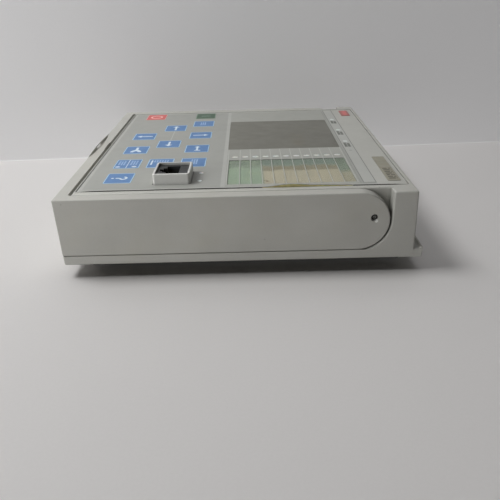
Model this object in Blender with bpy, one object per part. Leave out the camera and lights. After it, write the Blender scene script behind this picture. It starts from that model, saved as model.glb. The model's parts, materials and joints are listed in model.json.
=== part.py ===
"""Compact ward instrument: a flat desk unit with a display, a membrane keypad,
a row of indicator lamps, a raised service socket and a swinging U-handle.

Drawing coordinates used below, in millimetres:
  x  from the outer face of the handle's crossbar (user side) towards the rear lip
  y  from the outer face of the near handle arm to the far one
  z  up from the underside of the housing flange
at() turns them into the part's frame: metres, +Z up, origin at the centre of
the footprint on the plane that the feet stand on.

Rectangles are (x0, x1, y0, y1). Cutters run past the faces that they open, and
added shapes are sunk a little into the solid they join.
"""

import math

import bmesh
import bpy
from mathutils import Vector

# ---------------------------------------------------------------- dimensions
LIP_X = 178.4          # outer edge of the rear lip
BODY_X = 173.2         # rear wall at the top
REAR_X = 174.4         # rear wall at the bottom: the moulding has draft
FRONT = -0.6           # front edge of the flange and of the crossbar
GRIP_X = -1.8          # outermost point of the crossbar's finger grip
WIDTH = 181.0          # over both handle arms
TOP = 35.2             # top of the housing rim
FLANGE = 4.9           # height of the flange that runs under the handle
FOOT_LOW = -7.0        # plane that the feet stand on
COVER_LOW = -5.2       # underside of the bottom cover
ORIGIN = ((LIP_X + GRIP_X) / 2, WIDTH / 2, FOOT_LOW)

FRONT_X = 7.0          # front wall of the housing, behind the crossbar
SIDE_Y = 6.4           # outer face of the near side wall, inside the arm
WALL = 2.6
CAVITY = (FRONT_X + WALL, BODY_X - WALL, SIDE_Y + WALL, WIDTH - SIDE_Y - WALL)
INNER_TOP = 32.4       # underside of the top plate
PLATE_CUT_LOW = INNER_TOP - 1          # start of the cutters that pierce the top plate
SHEET_FLOOR = 34.4     # floor of the shallow pocket the overlay lies in
PLATE_CUT_TOP = SHEET_FLOOR + 0.3      # end of the cutters that open that floor
SHEET_TOP = 35.0
SHEET = (8.5, 170.75, 10.0, 171.8)
SEAM = 0.4             # gap round the overlay sheet

HINGE = (145.9, 20.05)                 # x, z of the handle's axis
STOP = (153.1, 22.1)                   # x, z of the stop pins
HINGE_X, HINGE_Z = HINGE
ARM_R = 14.9           # half height of an arm and radius of its round end
RECESS_R = 15.6        # the housing's recess follows the arm end at this radius
ARM_T = 6.0
BAR_X = 5.5            # inner face of the crossbar
PIN_R, PIN_CLEAR = 3.0, 0.06
BUSH_R = 4.4
STOP_R = 1.5
SWING = math.radians(90)
NOTCH_Y = (83.0, 97.0)                 # notch in the crossbar and pocket facing it

KEY_TOP = 35.06
KEY_FRAME = 0.6        # pale frame of the coloured face, part of the key
KEY_T = 0.6
KEY_GAP = 0.25         # round each key in the overlay
KEY_POCKET_GAP = 0.3   # round each key in the top plate
KEY_FLOOR = 33.7       # pocket under each key
STEM_R = 2.6
STEM_BOTTOM = 29.25
DOME_R, DOME_H = 2.4, 0.5

SCREW_XY = ((16.0, 15.5), (164.0, 15.5), (16.0, 165.5), (164.0, 165.5))
FOOT_XY = ((24.0, 28.0), (156.0, 28.0), (24.0, 153.0), (156.0, 153.0))
KEYPAD_BOSS_XY = ((34.4, 66.0), (34.4, 150.0), (73.5, 66.0), (73.5, 150.0))
PILLAR_XY = (
    (20.0, 28.0), (98.0, 28.0), (20.0, 153.0), (98.0, 153.0),
    (114.0, 30.0), (158.0, 80.0), (114.0, 100.0), (158.0, 150.0),
)

# coloured faces of the keys: (x0, x1, y0, y1)
KEY_FACES = {
    "key_off": (18.5, 32.1, 154.4, 169.2),
    "key_on": (55.0, 68.6, 154.4, 169.2),
    "key_display": (55.0, 68.6, 132.0, 146.2),
    "key_arrow_left": (36.6, 50.2, 121.2, 135.6),
    "key_arrow_down": (18.5, 32.1, 101.7, 116.1),
    "key_arrow_up": (55.0, 68.6, 101.9, 116.3),
    "key_arrow_right": (36.6, 50.2, 83.1, 97.5),
    "key_clear": (18.5, 32.1, 71.7, 86.1),
    "key_back": (55.0, 68.6, 71.9, 86.2),
    "key_mode": (18.5, 32.1, 45.2, 59.9),
    "key_menu": (36.6, 50.2, 45.2, 59.9),
    "key_enter": (55.0, 68.6, 45.2, 59.9),
    "key_help": (18.6, 32.2, 21.7, 36.1),
}
# the frame adds its width at the rear edge, and half of it at each end in y
KEYS = {
    name: (x0, x1 + KEY_FRAME, y0 - KEY_FRAME / 2, y1 + KEY_FRAME / 2)
    for name, (x0, x1, y0, y1) in KEY_FACES.items()
}

JACK = (44.9, 63.6, 17.7, 37.1)        # outline of the raised socket collar
JACK_TOP = 40.5
WINDOW = (81.0, 147.5, 75.0, 142.0)    # display window
LABEL = (82.0, 146.7, 15.9, 54.6)      # window over the lamp label card
WINDOW_TOP = SHEET_TOP - 0.05
LAMP_BAR = (82.8, 146.8, 58.6, 62.6)
LAMP_COUNT, LAMP_X0, LAMP_PITCH, LAMP_Y = 11, 85.25, 5.84, 60.6
STATUS_X, STATUS_Y = 152.8, (142.5, 114.5, 87.5)
PORT_R = 1.2
PORT_XY = [(67.9, y) for y in (34.4, 22.5)]

# light guides: bar, centres of the posts, half sizes of a post in x and y
LIGHT_GUIDES = {
    "indicator_light_guide": (
        LAMP_BAR,
        [(LAMP_X0 + LAMP_PITCH * i, LAMP_Y) for i in range(LAMP_COUNT)],
        (1.85, 1.5),
    ),
    "status_light_guide": (
        (150.8, 154.8, 83.0, 147.0),
        [(STATUS_X, y) for y in STATUS_Y],
        (1.5, 2.2),
    ),
    "port_light_guide": ((66.2, 69.6, 20.0, 37.0), PORT_XY, (PORT_R, PORT_R)),
}

# faces of the sockets in the rear wall: (y0, y1, z0, z1)
LEAD_FACE = (130.0, 158.0, 14.0, 25.0)
POWER_FACE = (60.0, 72.0, 14.0, 25.0)
SOCKET_X = (160.0, 172.6)

BOARD_T = 1.6
LOW_BOARD = 8.0                        # underside of the three lower boards
LOW_BOARD_TOP = LOW_BOARD + BOARD_T
ON_BOARD = LOW_BOARD_TOP + 0.15        # underside of the loose parts that lie on them
KEYPAD_TOP = 28.2                      # top of the keypad board
INDICATOR_BOARD = 26.0                 # underside of the indicator board

CASE = (0.46, 0.46, 0.43)
STEEL = (0.62, 0.62, 0.60)
LIGHT_PLASTIC = (0.75, 0.75, 0.72)
BOARD_GREEN = (0.03, 0.16, 0.07)
KEY_BLUE = (0.11, 0.22, 0.48)
KEY_COLOURS = {"key_off": (0.55, 0.10, 0.10), "key_on": (0.07, 0.14, 0.09)}

# ---------------------------------------------------------------- outlines


def at(x, y, z):
    return Vector((x - ORIGIN[0], y - ORIGIN[1], z - ORIGIN[2])) * 0.001


def place(axis, first, second, along):
    """A point at along on axis; first and second are the other two in x, y, z order."""
    coordinates = {
        "x": (along, first, second),
        "y": (first, along, second),
        "z": (first, second, along),
    }
    return at(*coordinates[axis])


def polar(centre, radius, angle):
    return (centre[0] + radius * math.cos(angle), centre[1] + radius * math.sin(angle))


def centre_of(rect):
    x0, x1, y0, y1 = rect
    return ((x0 + x1) / 2, (y0 + y1) / 2)


def grown(rect, margin):
    x0, x1, y0, y1 = rect
    return (x0 - margin, x1 + margin, y0 - margin, y1 + margin)


def both_sides(low, high):
    """A span in y on the near side, and its mirror image on the far side."""
    return ((low, high), (WIDTH - high, WIDTH - low))


def corners(rect):
    x0, x1, y0, y1 = rect
    return [(x0, y0), (x1, y0), (x1, y1), (x0, y1)]


def rounded(rect, corner, steps):
    """A rectangle's outline with round corners of the given radius."""
    x0, x1, y0, y1 = grown(rect, -corner)
    out = []
    for centre, start in (((x1, y1), 0), ((x0, y1), 90), ((x0, y0), 180), ((x1, y0), 270)):
        for i in range(steps + 1):
            out.append(polar(centre, corner, math.radians(start + 90 * i / steps)))
    return out


def ellipse(centre, half_first, half_second, sides):
    angles = [2 * math.pi * i / sides for i in range(sides)]
    return [
        (centre[0] + half_first * math.cos(t), centre[1] + half_second * math.sin(t))
        for t in angles
    ]


# ---------------------------------------------------------------- solids, drawn into a bmesh


def loft(shape, sections):
    """A closed solid through sections that have equal numbers of points."""
    rings = [[shape.verts.new(point) for point in section] for section in sections]
    shape.faces.new(rings[0])
    shape.faces.new(rings[-1])
    for low, high in zip(rings, rings[1:]):
        for i in range(len(low)):
            j = (i + 1) % len(low)
            shape.faces.new((low[i], low[j], high[j], high[i]))


def prism(shape, outline, axis, low, high):
    loft(shape, [[place(axis, *point, along) for point in outline] for along in (low, high)])


def box(shape, rect, low, high):
    prism(shape, corners(rect), "z", low, high)


def slab(shape, rect, low, high, corner=0.8, steps=3):
    prism(shape, rounded(rect, corner, steps), "z", low, high)


def rod(shape, axis, centre, radius, low, high, sides=24, radius_2=None):
    """A round rod, or an oval one if the second radius is given."""
    prism(shape, ellipse(centre, radius, radius_2 or radius, sides), axis, low, high)


def rods(shape, axis, centres, *size, **options):
    for centre in centres:
        rod(shape, axis, centre, *size, **options)


def both_at(start, end, axis, value):
    return abs(start[axis] - value) < 1e-6 and abs(end[axis] - value) < 1e-6


def bevel(shape, chosen, offset, segments):
    """Rounds every edge for which chosen(start, end) holds, start and end in metres."""
    bmesh.ops.recalc_face_normals(shape, faces=shape.faces)
    edges = [edge for edge in shape.edges if chosen(edge.verts[0].co, edge.verts[1].co)]
    bmesh.ops.bevel(
        shape,
        geom=edges,
        offset=offset * 0.001,
        segments=segments,
        profile=0.5,
        affect="EDGES",
        clamp_overlap=True,
    )


def draw(build, *sizes, **options):
    """A new bmesh with what build draws."""
    shape = bmesh.new()
    build(shape, *sizes, **options)
    return shape


# ---------------------------------------------------------------- objects


def material(name, colour, rough, metal=0.0, alpha=1.0):
    made = bpy.data.materials.new(name)
    made.use_nodes = True
    shader = made.node_tree.nodes["Principled BSDF"]
    shader.inputs["Base Color"].default_value = (*colour, 1.0)
    shader.inputs["Roughness"].default_value = rough
    shader.inputs["Metallic"].default_value = metal
    shader.inputs["Alpha"].default_value = alpha
    return made


def link_object(name, shape, origin=None):
    bmesh.ops.recalc_face_normals(shape, faces=shape.faces)
    base = at(*origin) if origin else Vector((0, 0, 0))
    bmesh.ops.translate(shape, verts=shape.verts, vec=-base)
    data = bpy.data.meshes.new(name)
    shape.to_mesh(data)
    shape.free()
    obj = bpy.data.objects.new(name, data)
    obj.location = base
    bpy.context.scene.collection.objects.link(obj)
    return obj


def piece(name, shape, origin=None, **finish):
    """A piece with a material of its own; finish holds that material's values."""
    obj = link_object(name, shape, origin)
    obj.data.materials.append(material(name + "_mat", **finish))
    obj.data.shade_smooth()
    obj.data.set_sharp_from_angle(angle=math.radians(30))
    return obj


def combine(obj, operation, shape):
    """Joins or cuts obj with the closed shapes drawn; they must not meet each other."""
    helper = link_object(f"{obj.name}_{operation.lower()}_{len(obj.modifiers)}", shape)
    helper.hide_render = True
    helper.display_type = "WIRE"
    modifier = obj.modifiers.new(helper.name, "BOOLEAN")
    modifier.operation = operation
    modifier.solver = "EXACT"
    modifier.object = helper


def cut(obj, build, *sizes, **options):
    combine(obj, "DIFFERENCE", draw(build, *sizes, **options))


def add(obj, build, *sizes, **options):
    combine(obj, "UNION", draw(build, *sizes, **options))


# ---------------------------------------------------------------- housing


def recess_profile(steps=9):
    """The recess's rear wall in x, z: from the ledge round the arm end, then straight up."""
    low = math.asin((FLANGE - HINGE_Z) / RECESS_R)
    points = [polar(HINGE, RECESS_R, low * (1 - i / steps)) for i in range(steps + 1)]
    return points + [(HINGE_X + RECESS_R, TOP)]


def housing_core(shape):
    """Flange and body as one solid: the body is narrower than the flange by the handle."""
    profile = recess_profile()
    far = WIDTH
    inner_y = (SIDE_Y, far - SIDE_Y)

    def vert(x, y, z):
        return shape.verts.new(at(x, y, z))

    base = [vert(FRONT, 0, 0), vert(REAR_X, 0, 0), vert(REAR_X, far, 0), vert(FRONT, far, 0)]
    rear_top = [vert(BODY_X, y, TOP) for y in (0, far)]
    ledge = [vert(FRONT, y, FLANGE) for y in (0, far)]
    inner_low = [vert(FRONT_X, y, FLANGE) for y in inner_y]
    inner_top = [vert(FRONT_X, y, TOP) for y in inner_y]
    outer = [[vert(x, y, z) for x, z in profile] for y in (0, far)]
    inner = [[vert(x, y, z) for x, z in profile] for y in inner_y]

    face = shape.faces.new
    face(base[::-1])
    face((base[1], base[2], rear_top[1], rear_top[0]))
    face((base[3], base[0], ledge[0], ledge[1]))
    for side, bottom in enumerate((base[0:2], [base[3], base[2]])):
        face(bottom + [rear_top[side]] + outer[side][::-1] + [ledge[side]])
        for i in range(len(profile) - 1):
            j = i + 1
            face((outer[side][i], outer[side][j], inner[side][j], inner[side][i]))
        face([inner_low[side]] + inner[side] + [inner_top[side]])
    face((inner_low[0], inner_low[1], inner_top[1], inner_top[0]))
    face(
        [ledge[0], outer[0][0], inner[0][0], inner_low[0]]
        + [inner_low[1], inner[1][0], outer[1][0], ledge[1]]
    )
    face(
        [inner_top[0], inner[0][-1], outer[0][-1], rear_top[0]]
        + [rear_top[1], outer[1][-1], inner[1][-1], inner_top[1]]
    )

    near_front, far_rear = at(FRONT, 0, 0), at(REAR_X, far, 0)
    top_z, flange_z = at(0, 0, TOP).z, at(0, 0, FLANGE).z

    def outer_edge(*ends):
        on_side = both_at(*ends, 1, near_front.y) or both_at(*ends, 1, far_rear.y)
        on_end = both_at(*ends, 0, near_front.x) or both_at(*ends, 0, far_rear.x)
        return (
            both_at(*ends, 2, top_z)
            or (both_at(*ends, 2, near_front.z) and (on_side or on_end))
            or (on_side and not both_at(*ends, 2, flange_z))
        )

    bevel(shape, outer_edge, 0.9, 3)


def lip(shape):
    """Rear lip: a low rail whose outer edge turns up."""
    outline = [
        (BODY_X - 1.2, 0.3), (178.0, 0.3), (178.2, 1.0), (LIP_X, 5.6),
        (177.6, 5.7), (176.8, 4.9), (BODY_X - 1.2, 4.4),
    ]
    prism(shape, outline, "y", 0.05, WIDTH - 0.05)


def gussets(shape):
    """Three thin ribs between the rear wall and the lip."""
    outline = [(BODY_X - 1.0, 4.0), (177.0, 4.6), (177.0, 5.1), (BODY_X - 1.0, 8.0)]
    for y in (30.0, 90.5, 151.0):
        prism(shape, outline, "y", y - 0.8, y + 0.8)


def plate_openings(shape):
    """Everything that goes down from the overlay's pocket into the top plate."""
    for key in KEYS.values():
        box(shape, grown(key, KEY_POCKET_GAP), KEY_FLOOR, PLATE_CUT_TOP)
    through = (PLATE_CUT_LOW, PLATE_CUT_TOP)
    box(shape, grown(WINDOW, -1.5), *through)
    slab(shape, grown(JACK, 0.3), *through, corner=1.6, steps=2)
    box(shape, grown(LAMP_BAR, 0.2), *through)
    for y in STATUS_Y:
        box(shape, (150.5, 155.1, y - 3, y + 3), *through)
    rods(shape, "z", PORT_XY, 1.7, *through, sides=8)


def stop_slot(shape, low, high, steps=9, cap_steps=4):
    """The stop pin's slot: an arc about the hinge, 2.5 degrees past the swing at each end."""
    past = math.radians(2.5)
    reach = math.hypot(STOP[0] - HINGE_X, STOP[1] - HINGE_Z)
    start = math.atan2(STOP[1] - HINGE_Z, STOP[0] - HINGE_X) + past
    end = start - SWING - 2 * past
    half = STOP_R + 0.35

    def side(radius, first, last):
        angles = [first + (last - first) * i / steps for i in range(steps + 1)]
        return [polar(HINGE, radius, t) for t in angles]

    def cap(angle, first):
        centre = polar(HINGE, reach, angle)
        return [polar(centre, half, first - math.pi * i / cap_steps) for i in range(1, cap_steps)]

    outline = (
        side(reach + half, start, end)
        + cap(end, end)
        + side(reach - half, end, start)
        + cap(start, start + math.pi)
    )
    prism(shape, outline, "y", low, high)


def socket_block(shape, x0, x1, face):
    y0, y1, z0, z1 = face
    box(shape, (x0, x1, y0, y1), z0, z1)


def wall_holes(shape):
    """Pivot holes and stop slots in both side walls, and socket openings in the rear wall."""
    for span in both_sides(SIDE_Y - 1, SIDE_Y + WALL + 1):
        rod(shape, "y", HINGE, PIN_R + 0.15, *span, sides=20)
        stop_slot(shape, *span)
    for face in (LEAD_FACE, POWER_FACE):
        socket_block(shape, BODY_X - WALL - 1, REAR_X + 1, grown(face, 0.3))


def screw_holes_and_pocket(shape):
    """Screw holes in the bosses, and the front wall's pocket facing the crossbar's notch."""
    rods(shape, "z", SCREW_XY, 1.7, 1.0, 16.0, sides=8)
    box(shape, (FRONT_X - 1, FRONT_X + 1.7, *NOTCH_Y), 24.0, 33.6)


def build_housing():
    key_centres = [centre_of(key) for key in KEYS.values()]
    boss_top = INNER_TOP + 0.8
    housing = piece("main_housing", draw(housing_core), colour=CASE, rough=0.55)
    add(housing, lip)
    add(housing, gussets)
    cut(housing, slab, CAVITY, -3, INNER_TOP, corner=2.0)
    add(housing, rods, "z", SCREW_XY, 4.0, 2.7, boss_top, sides=10)
    add(housing, rods, "z", KEYPAD_BOSS_XY, 2.0, KEYPAD_TOP + 0.1, boss_top, sides=8)
    cut(housing, slab, grown(SHEET, SEAM), SHEET_FLOOR, TOP + 3, corner=1.4)
    cut(housing, plate_openings)
    stem_hole = (STEM_R + 0.6, PLATE_CUT_LOW, KEY_FLOOR + 0.3)
    cut(housing, rods, "z", key_centres, *stem_hole, sides=8)
    cut(housing, wall_holes)
    cut(housing, screw_holes_and_pocket)


# ---------------------------------------------------------------- bottom cover, screws and feet
COVER_TOP = 2.4
COVER_INSIDE = COVER_LOW + 1.5         # where posts and pillars start, inside the floor


def cover_recesses(shape):
    """Recesses for the screw heads, and a row of six slots through the floor."""
    rods(shape, "z", SCREW_XY, 3.2, COVER_LOW - 1, COVER_LOW + 1.3, sides=12)
    for i in range(6):
        slot = (60.0 + 11 * i, 64.0 + 11 * i, 70.0, 112.0)
        slab(shape, slot, COVER_LOW - 1, COVER_LOW + 4, corner=1.9, steps=2)


def build_cover():
    """A shallow tray with a rim, pillars under the boards, and posts that take the screws."""
    tray = draw(slab, grown(CAVITY, -0.3), COVER_LOW, COVER_TOP, corner=1.8)
    cover = piece("rear_cover", tray, colour=(0.06, 0.06, 0.06), rough=0.6)
    cut(cover, slab, grown(CAVITY, -2.6), COVER_LOW + 2.1, 4, corner=1.8)
    add(cover, rods, "z", PILLAR_XY, 2.5, COVER_INSIDE, LOW_BOARD - 0.1, sides=8)
    add(cover, rods, "z", SCREW_XY, 4.4, COVER_INSIDE, COVER_TOP, sides=12)
    cut(cover, cover_recesses)
    cut(cover, rods, "z", SCREW_XY, 1.8, COVER_LOW + 1.0, 4, sides=8)


def build_screw(name, centre):
    """A round head, a plain shank and a hexagonal socket in the head."""
    head = draw(rod, "z", centre, 2.8, COVER_LOW - 0.1, COVER_LOW + 1.2, sides=12)
    screw = piece(name, head, colour=(0.55, 0.55, 0.56), rough=0.35, metal=1.0)
    add(screw, rod, "z", centre, 1.35, COVER_LOW + 1.0, 14.0, sides=8)
    cut(screw, rod, "z", centre, 1.2, COVER_LOW - 1.0, COVER_LOW + 0.7, sides=6)


def foot(shape, centre):
    """A round foot with a chamfered lower edge."""
    sections = ((5.6, FOOT_LOW), (6.2, FOOT_LOW + 0.6), (6.2, COVER_LOW - 0.1))
    loft(shape, [[at(x, y, z) for x, y in ellipse(centre, r, r, 20)] for r, z in sections])


# ---------------------------------------------------------------- overlay and front pieces


def sheet_openings(shape):
    span = (SHEET_FLOOR - 1, SHEET_TOP + 1)
    for key in KEYS.values():
        slab(shape, grown(key, KEY_GAP), *span, steps=2)
    for window in (WINDOW, LABEL):
        slab(shape, grown(window, 0.2), *span, corner=0.6, steps=2)
    slab(shape, grown(JACK, 0.3), *span, corner=1.6)
    for _, centres, (half_x, half_y) in LIGHT_GUIDES.values():
        rods(shape, "z", centres, half_x + 0.15, *span, sides=10, radius_2=half_y + 0.15)


def build_overlay():
    outline = draw(slab, SHEET, SHEET_FLOOR + 0.1, SHEET_TOP, corner=1.0)
    sheet = piece("overlay_sheet", outline, colour=(0.40, 0.41, 0.39), rough=0.45)
    cut(sheet, sheet_openings)


def build_key(name, rect):
    """A flat cap with a stem below it."""
    centre = centre_of(rect)
    key = piece(
        name,
        draw(slab, rect, KEY_TOP - KEY_T, KEY_TOP, corner=0.7, steps=2),
        origin=(*centre, KEY_TOP),
        colour=KEY_COLOURS.get(name, KEY_BLUE),
        rough=0.4,
    )
    add(key, rod, "z", centre, STEM_R, STEM_BOTTOM, KEY_TOP - KEY_T / 2, sides=8)


def build_display():
    window = draw(slab, WINDOW, SHEET_FLOOR + 0.1, WINDOW_TOP, corner=0.5, steps=2)
    piece("display_window", window, colour=(0.10, 0.10, 0.09), rough=0.15, alpha=0.6)

    frame = draw(slab, grown(WINDOW, 1.5), 31.7, 32.3, corner=1.0)
    gasket = piece("display_gasket", frame, colour=(0.02, 0.02, 0.02), rough=0.9)
    cut(gasket, slab, grown(WINDOW, -1.5), 30, 34, corner=0.6)

    block = draw(slab, (79.0, 149.4, 72.6, 144.4), 27.0, 31.6)
    module = piece("display_module", block, colour=(0.12, 0.12, 0.11), rough=0.4)
    cut(module, slab, (83.0, 145.4, 77.0, 140.0), 31.2, 33, corner=0.4, steps=2)


def build_lamp_label():
    window = draw(slab, LABEL, 34.75, WINDOW_TOP, corner=0.4, steps=2)
    piece("lamp_label_window", window, colour=(0.6, 0.62, 0.58), rough=0.2, alpha=0.3)
    card = draw(slab, grown(LABEL, -0.1), 34.45, 34.68, corner=0.3, steps=2)
    piece("lamp_label_card", card, colour=(0.33, 0.40, 0.28), rough=0.8)


def build_light_guide(name, bar, centres, half_sizes):
    """A bar under the top plate with posts that rise to the overlay."""
    half_x, half_y = half_sizes
    base = draw(slab, bar, 29.6, 31.8, corner=0.5, steps=2)
    guide = piece(name, base, colour=LIGHT_PLASTIC, rough=0.3)
    add(guide, rods, "z", centres, half_x, 31.0, SHEET_TOP - 0.05, sides=10, radius_2=half_y)


def collar_block(shape):
    slab(shape, JACK, 31.0, JACK_TOP, corner=1.4)
    top_z = at(0, 0, JACK_TOP).z
    bevel(shape, lambda start, end: both_at(start, end, 2, top_z), 0.35, 2)


def plug_cavity(shape):
    """Opening for an eight-way modular plug, with the two steps of its latch."""
    front, middle = JACK[0], centre_of(JACK)[1]
    # one half of the outline: x from the collar's front edge, half width in y
    half = (
        (12.6, 5.9), (5.9, 5.9), (5.9, 3.1),
        (4.0, 3.1), (4.0, 1.7), (2.4, 1.7),
    )
    far = [(front + x, middle + y) for x, y in half]
    near = [(front + x, middle - y) for x, y in half]
    prism(shape, near[:1] + far + near[:0:-1], "z", 25.5, 44)


def build_service_socket():
    """The collar, with the flange that holds it under the top plate, and its insert."""
    collar = piece("socket_collar", draw(collar_block), colour=CASE, rough=0.5)
    add(collar, slab, grown(JACK, 1.6), 30.2, 32.1, corner=1.4)
    cut(collar, slab, grown(JACK, -1.15), 28, 44, corner=0.6)

    block = draw(slab, grown(JACK, -1.35), 22.0, 39.3, corner=0.5, steps=2)
    insert = piece("socket_insert", block, colour=(0.05, 0.05, 0.05), rough=0.45)
    cut(insert, plug_cavity)


def build_plates():
    """Two thin plates on the overlay along its rear edge."""
    low = SHEET_TOP + 0.05
    badge = draw(slab, (161.2, 167.3, 152.0, 167.6), low, SHEET_TOP + 0.3, corner=0.5, steps=2)
    piece("corner_badge", badge, colour=(0.55, 0.08, 0.07), rough=0.4)
    plate = draw(slab, (162.0, 168.5, 15.6, 54.4), low, SHEET_TOP + 0.22, corner=0.5, steps=2)
    piece("type_plate", plate, colour=(0.36, 0.33, 0.27), rough=0.6)


# ---------------------------------------------------------------- handle
HANDLE_LOW, HANDLE_TOP = HINGE_Z - ARM_R, HINGE_Z + ARM_R
RIB = 2.2                              # between neighbouring pockets
GRIP_Y, GRIP_CHORD = 92.0, 56.0
DISH_CHORD, STEP_CHORD = 51.0, 36.0


def handle_block(shape, steps=20):
    """The handle's side outline, swept over the full width."""
    points = [(FRONT, HANDLE_LOW)]
    for i in range(steps + 1):
        points.append(polar(HINGE, ARM_R, -math.pi / 2 + math.pi * i / steps))
    points.append((FRONT, HANDLE_TOP))
    prism(shape, points, "y", 0.0, WIDTH)
    near_front, far_y = at(FRONT, 0, 0), at(0, WIDTH, 0).y

    def outer_edge(*ends):
        return (
            both_at(*ends, 1, near_front.y)
            or both_at(*ends, 1, far_y)
            or both_at(*ends, 0, near_front.x)
        )

    bevel(shape, outer_edge, 0.55, 3)


def pocket_spans(low, high, count):
    """Equal spans from low to high with a rib between neighbours."""
    step = (high - low + RIB) / count
    return [(low + i * step, low + i * step + step - RIB) for i in range(count)]


def rib_pockets(shape):
    """Lightening pockets on the faces towards the housing."""
    for i, span in enumerate(pocket_spans(ARM_T + 3, WIDTH - ARM_T - 3, 8)):
        if i not in (3, 4):            # the middle of the crossbar stays solid
            box(shape, (2.6, BAR_X + 1, *span), 8.2, 31.0)
    for arm_span in pocket_spans(12, 128, 5):
        for side_span in both_sides(2.8, ARM_T + 1):
            box(shape, (*arm_span, *side_span), 8.4, 31.7)


def flat_arc(chord, rise, base_x, steps=12):
    """A flat arc in plan about GRIP_Y, standing off base_x by rise at its middle."""
    radius = chord * chord / (8 * abs(rise)) + abs(rise) / 2
    half = math.asin(chord / 2 / radius)
    sign = 1 if rise > 0 else -1
    out = []
    for i in range(steps + 1):
        angle = -half + 2 * half * i / steps
        offset = radius * math.cos(angle) - radius + abs(rise)
        out.append((base_x + sign * offset, GRIP_Y + radius * math.sin(angle)))
    return out


def grip(shape):
    """The crossbar's outer face swells a little where the fingers pull it up."""
    outline = flat_arc(GRIP_CHORD, GRIP_X - FRONT, FRONT) + [
        (1.0, GRIP_Y + GRIP_CHORD / 2),
        (1.0, GRIP_Y - GRIP_CHORD / 2),
    ]
    top = HANDLE_TOP - 0.1
    prism(shape, outline, "z", HANDLE_LOW + 0.5, top)
    limit = at(0.9, 0, top)

    def top_front_edge(start, end):
        return both_at(start, end, 2, limit.z) and start.x < limit.x and end.x < limit.x

    bevel(shape, top_front_edge, 0.15, 1)


def finger_dish(shape):
    """A lens-shaped dish behind the grip's thin lip."""
    edge_x = FRONT + 0.3
    outer = flat_arc(DISH_CHORD, GRIP_X - FRONT + 0.15, edge_x)
    inner = flat_arc(DISH_CHORD, 2.1, edge_x)
    prism(shape, outer + inner[-2:0:-1], "z", 33.5, 38)


def finger_step(shape):
    """The dish's deeper middle."""
    outer = flat_arc(STEP_CHORD, -0.3, 0.3, steps=8)
    inner = flat_arc(STEP_CHORD, 0.75, 0.5, steps=8)
    prism(shape, outer + inner[::-1], "z", 32.7, 33.9)


def side_bores(shape, *bores):
    """Round bores in both arms: (centre, radius, low, high, sides), low and high near side."""
    for centre, radius, low, high, sides in bores:
        for span in both_sides(low, high):
            rod(shape, "y", centre, radius, *span, sides=sides)


def build_handle():
    handle = piece(
        "handle",
        draw(handle_block),
        origin=(HINGE_X, WIDTH / 2, HINGE_Z),
        colour=CASE,
        rough=0.55,
    )
    cut(handle, slab, (BAR_X, 200, ARM_T, WIDTH - ARM_T), -5, 45, corner=1.5)
    cut(handle, rib_pockets)
    add(handle, grip)
    cut(handle, finger_dish)
    cut(handle, finger_step)
    cut(handle, box, (-3.0, -0.9, 90.6, 99.4), 33.2, 34.3)     # slot for a seal
    cut(handle, box, (BAR_X - 0.5, BAR_X + 1, *NOTCH_Y), 20.0, 40.0)
    bush_bore = (HINGE, BUSH_R + 0.05, 2.2, ARM_T + 1, 24)
    stop_bore = (STOP, STOP_R + 0.12, -1, ARM_T + 1, 20)
    cut(handle, side_bores, bush_bore, stop_bore)
    cut(handle, side_bores, (STOP, STOP_R + 0.35, -1, 0.9, 20))


def build_hinge(side, name):
    """Pivot pin, bush and stop pin of one arm: side 0 is the near one, 1 the far one."""

    def along(low, high):
        return both_sides(low, high)[side]

    pivot = (HINGE_X, along(SIDE_Y, SIDE_Y)[0], HINGE_Z)
    shank = draw(rod, "y", HINGE, PIN_R, *along(2.7, 10.0))
    pin = piece(
        f"pivot_pin_{name}", shank, pivot, colour=(0.6, 0.6, 0.61), rough=0.3, metal=1.0
    )
    add(pin, rod, "y", HINGE, 4.1, *along(SIDE_Y + WALL + 0.1, 10.6))      # inner head

    disc = draw(rod, "y", HINGE, BUSH_R, *along(2.5, ARM_T - 0.05))
    bush = piece(f"pivot_bush_{name}", disc, pivot, colour=(0.75, 0.73, 0.66), rough=0.5)
    cut(bush, rod, "y", HINGE, PIN_R + PIN_CLEAR, *along(1.0, 9.0))

    shank = draw(rod, "y", STOP, STOP_R, *along(0.8, 9.6), sides=20)
    stop = piece(
        f"stop_pin_{name}", shank, pivot, colour=(0.25, 0.25, 0.25), rough=0.35, metal=1.0
    )
    cut(stop, rod, "y", STOP, 0.8, *along(-1.0, 1.5), sides=6)             # socket


# ---------------------------------------------------------------- boards and what they carry

# components on the lower boards: x0, x1, y0, y1, top
MAIN_PARTS = (
    (52.0, 70.0, 66.0, 84.0, 11.4),
    (76.0, 90.0, 66.0, 78.0, 10.8),
    (52.0, 64.0, 92.0, 100.0, 10.9),
    (24.0, 44.0, 92.0, 112.0, 11.8),
    (70.0, 76.0, 118.0, 142.0, 13.0),
    (94.0, 100.0, 96.0, 120.0, 13.0),
    (30.0, 50.0, 126.0, 134.0, 12.4),
    (60.0, 66.0, 30.0, 52.0, 13.5),
)
INPUT_PARTS = ((110.0, 118.0, 34.0, 52.0, 12.5), (110.0, 117.0, 64.0, 82.0, 12.5))
POWER_PARTS = (
    (112.0, 132.0, 102.0, 122.0, 21.0),
    (138.0, 150.0, 100.0, 112.0, 14.0),
    (114.0, 126.0, 132.0, 150.0, 13.0),
    (136.0, 146.0, 122.0, 140.0, 17.0),
)
INDICATOR_OUTLINE = [
    (79.0, 13.0), (158.0, 13.0), (158.0, 160.0), (150.6, 160.0), (150.6, 70.0), (79.0, 70.0),
]
SHIELD = (121.0, 158.0, 32.0, 78.0)


def build_board(name, outline, low):
    shape = draw(prism, outline, "z", low, low + BOARD_T)
    return piece(name, shape, colour=BOARD_GREEN, rough=0.5)


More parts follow.
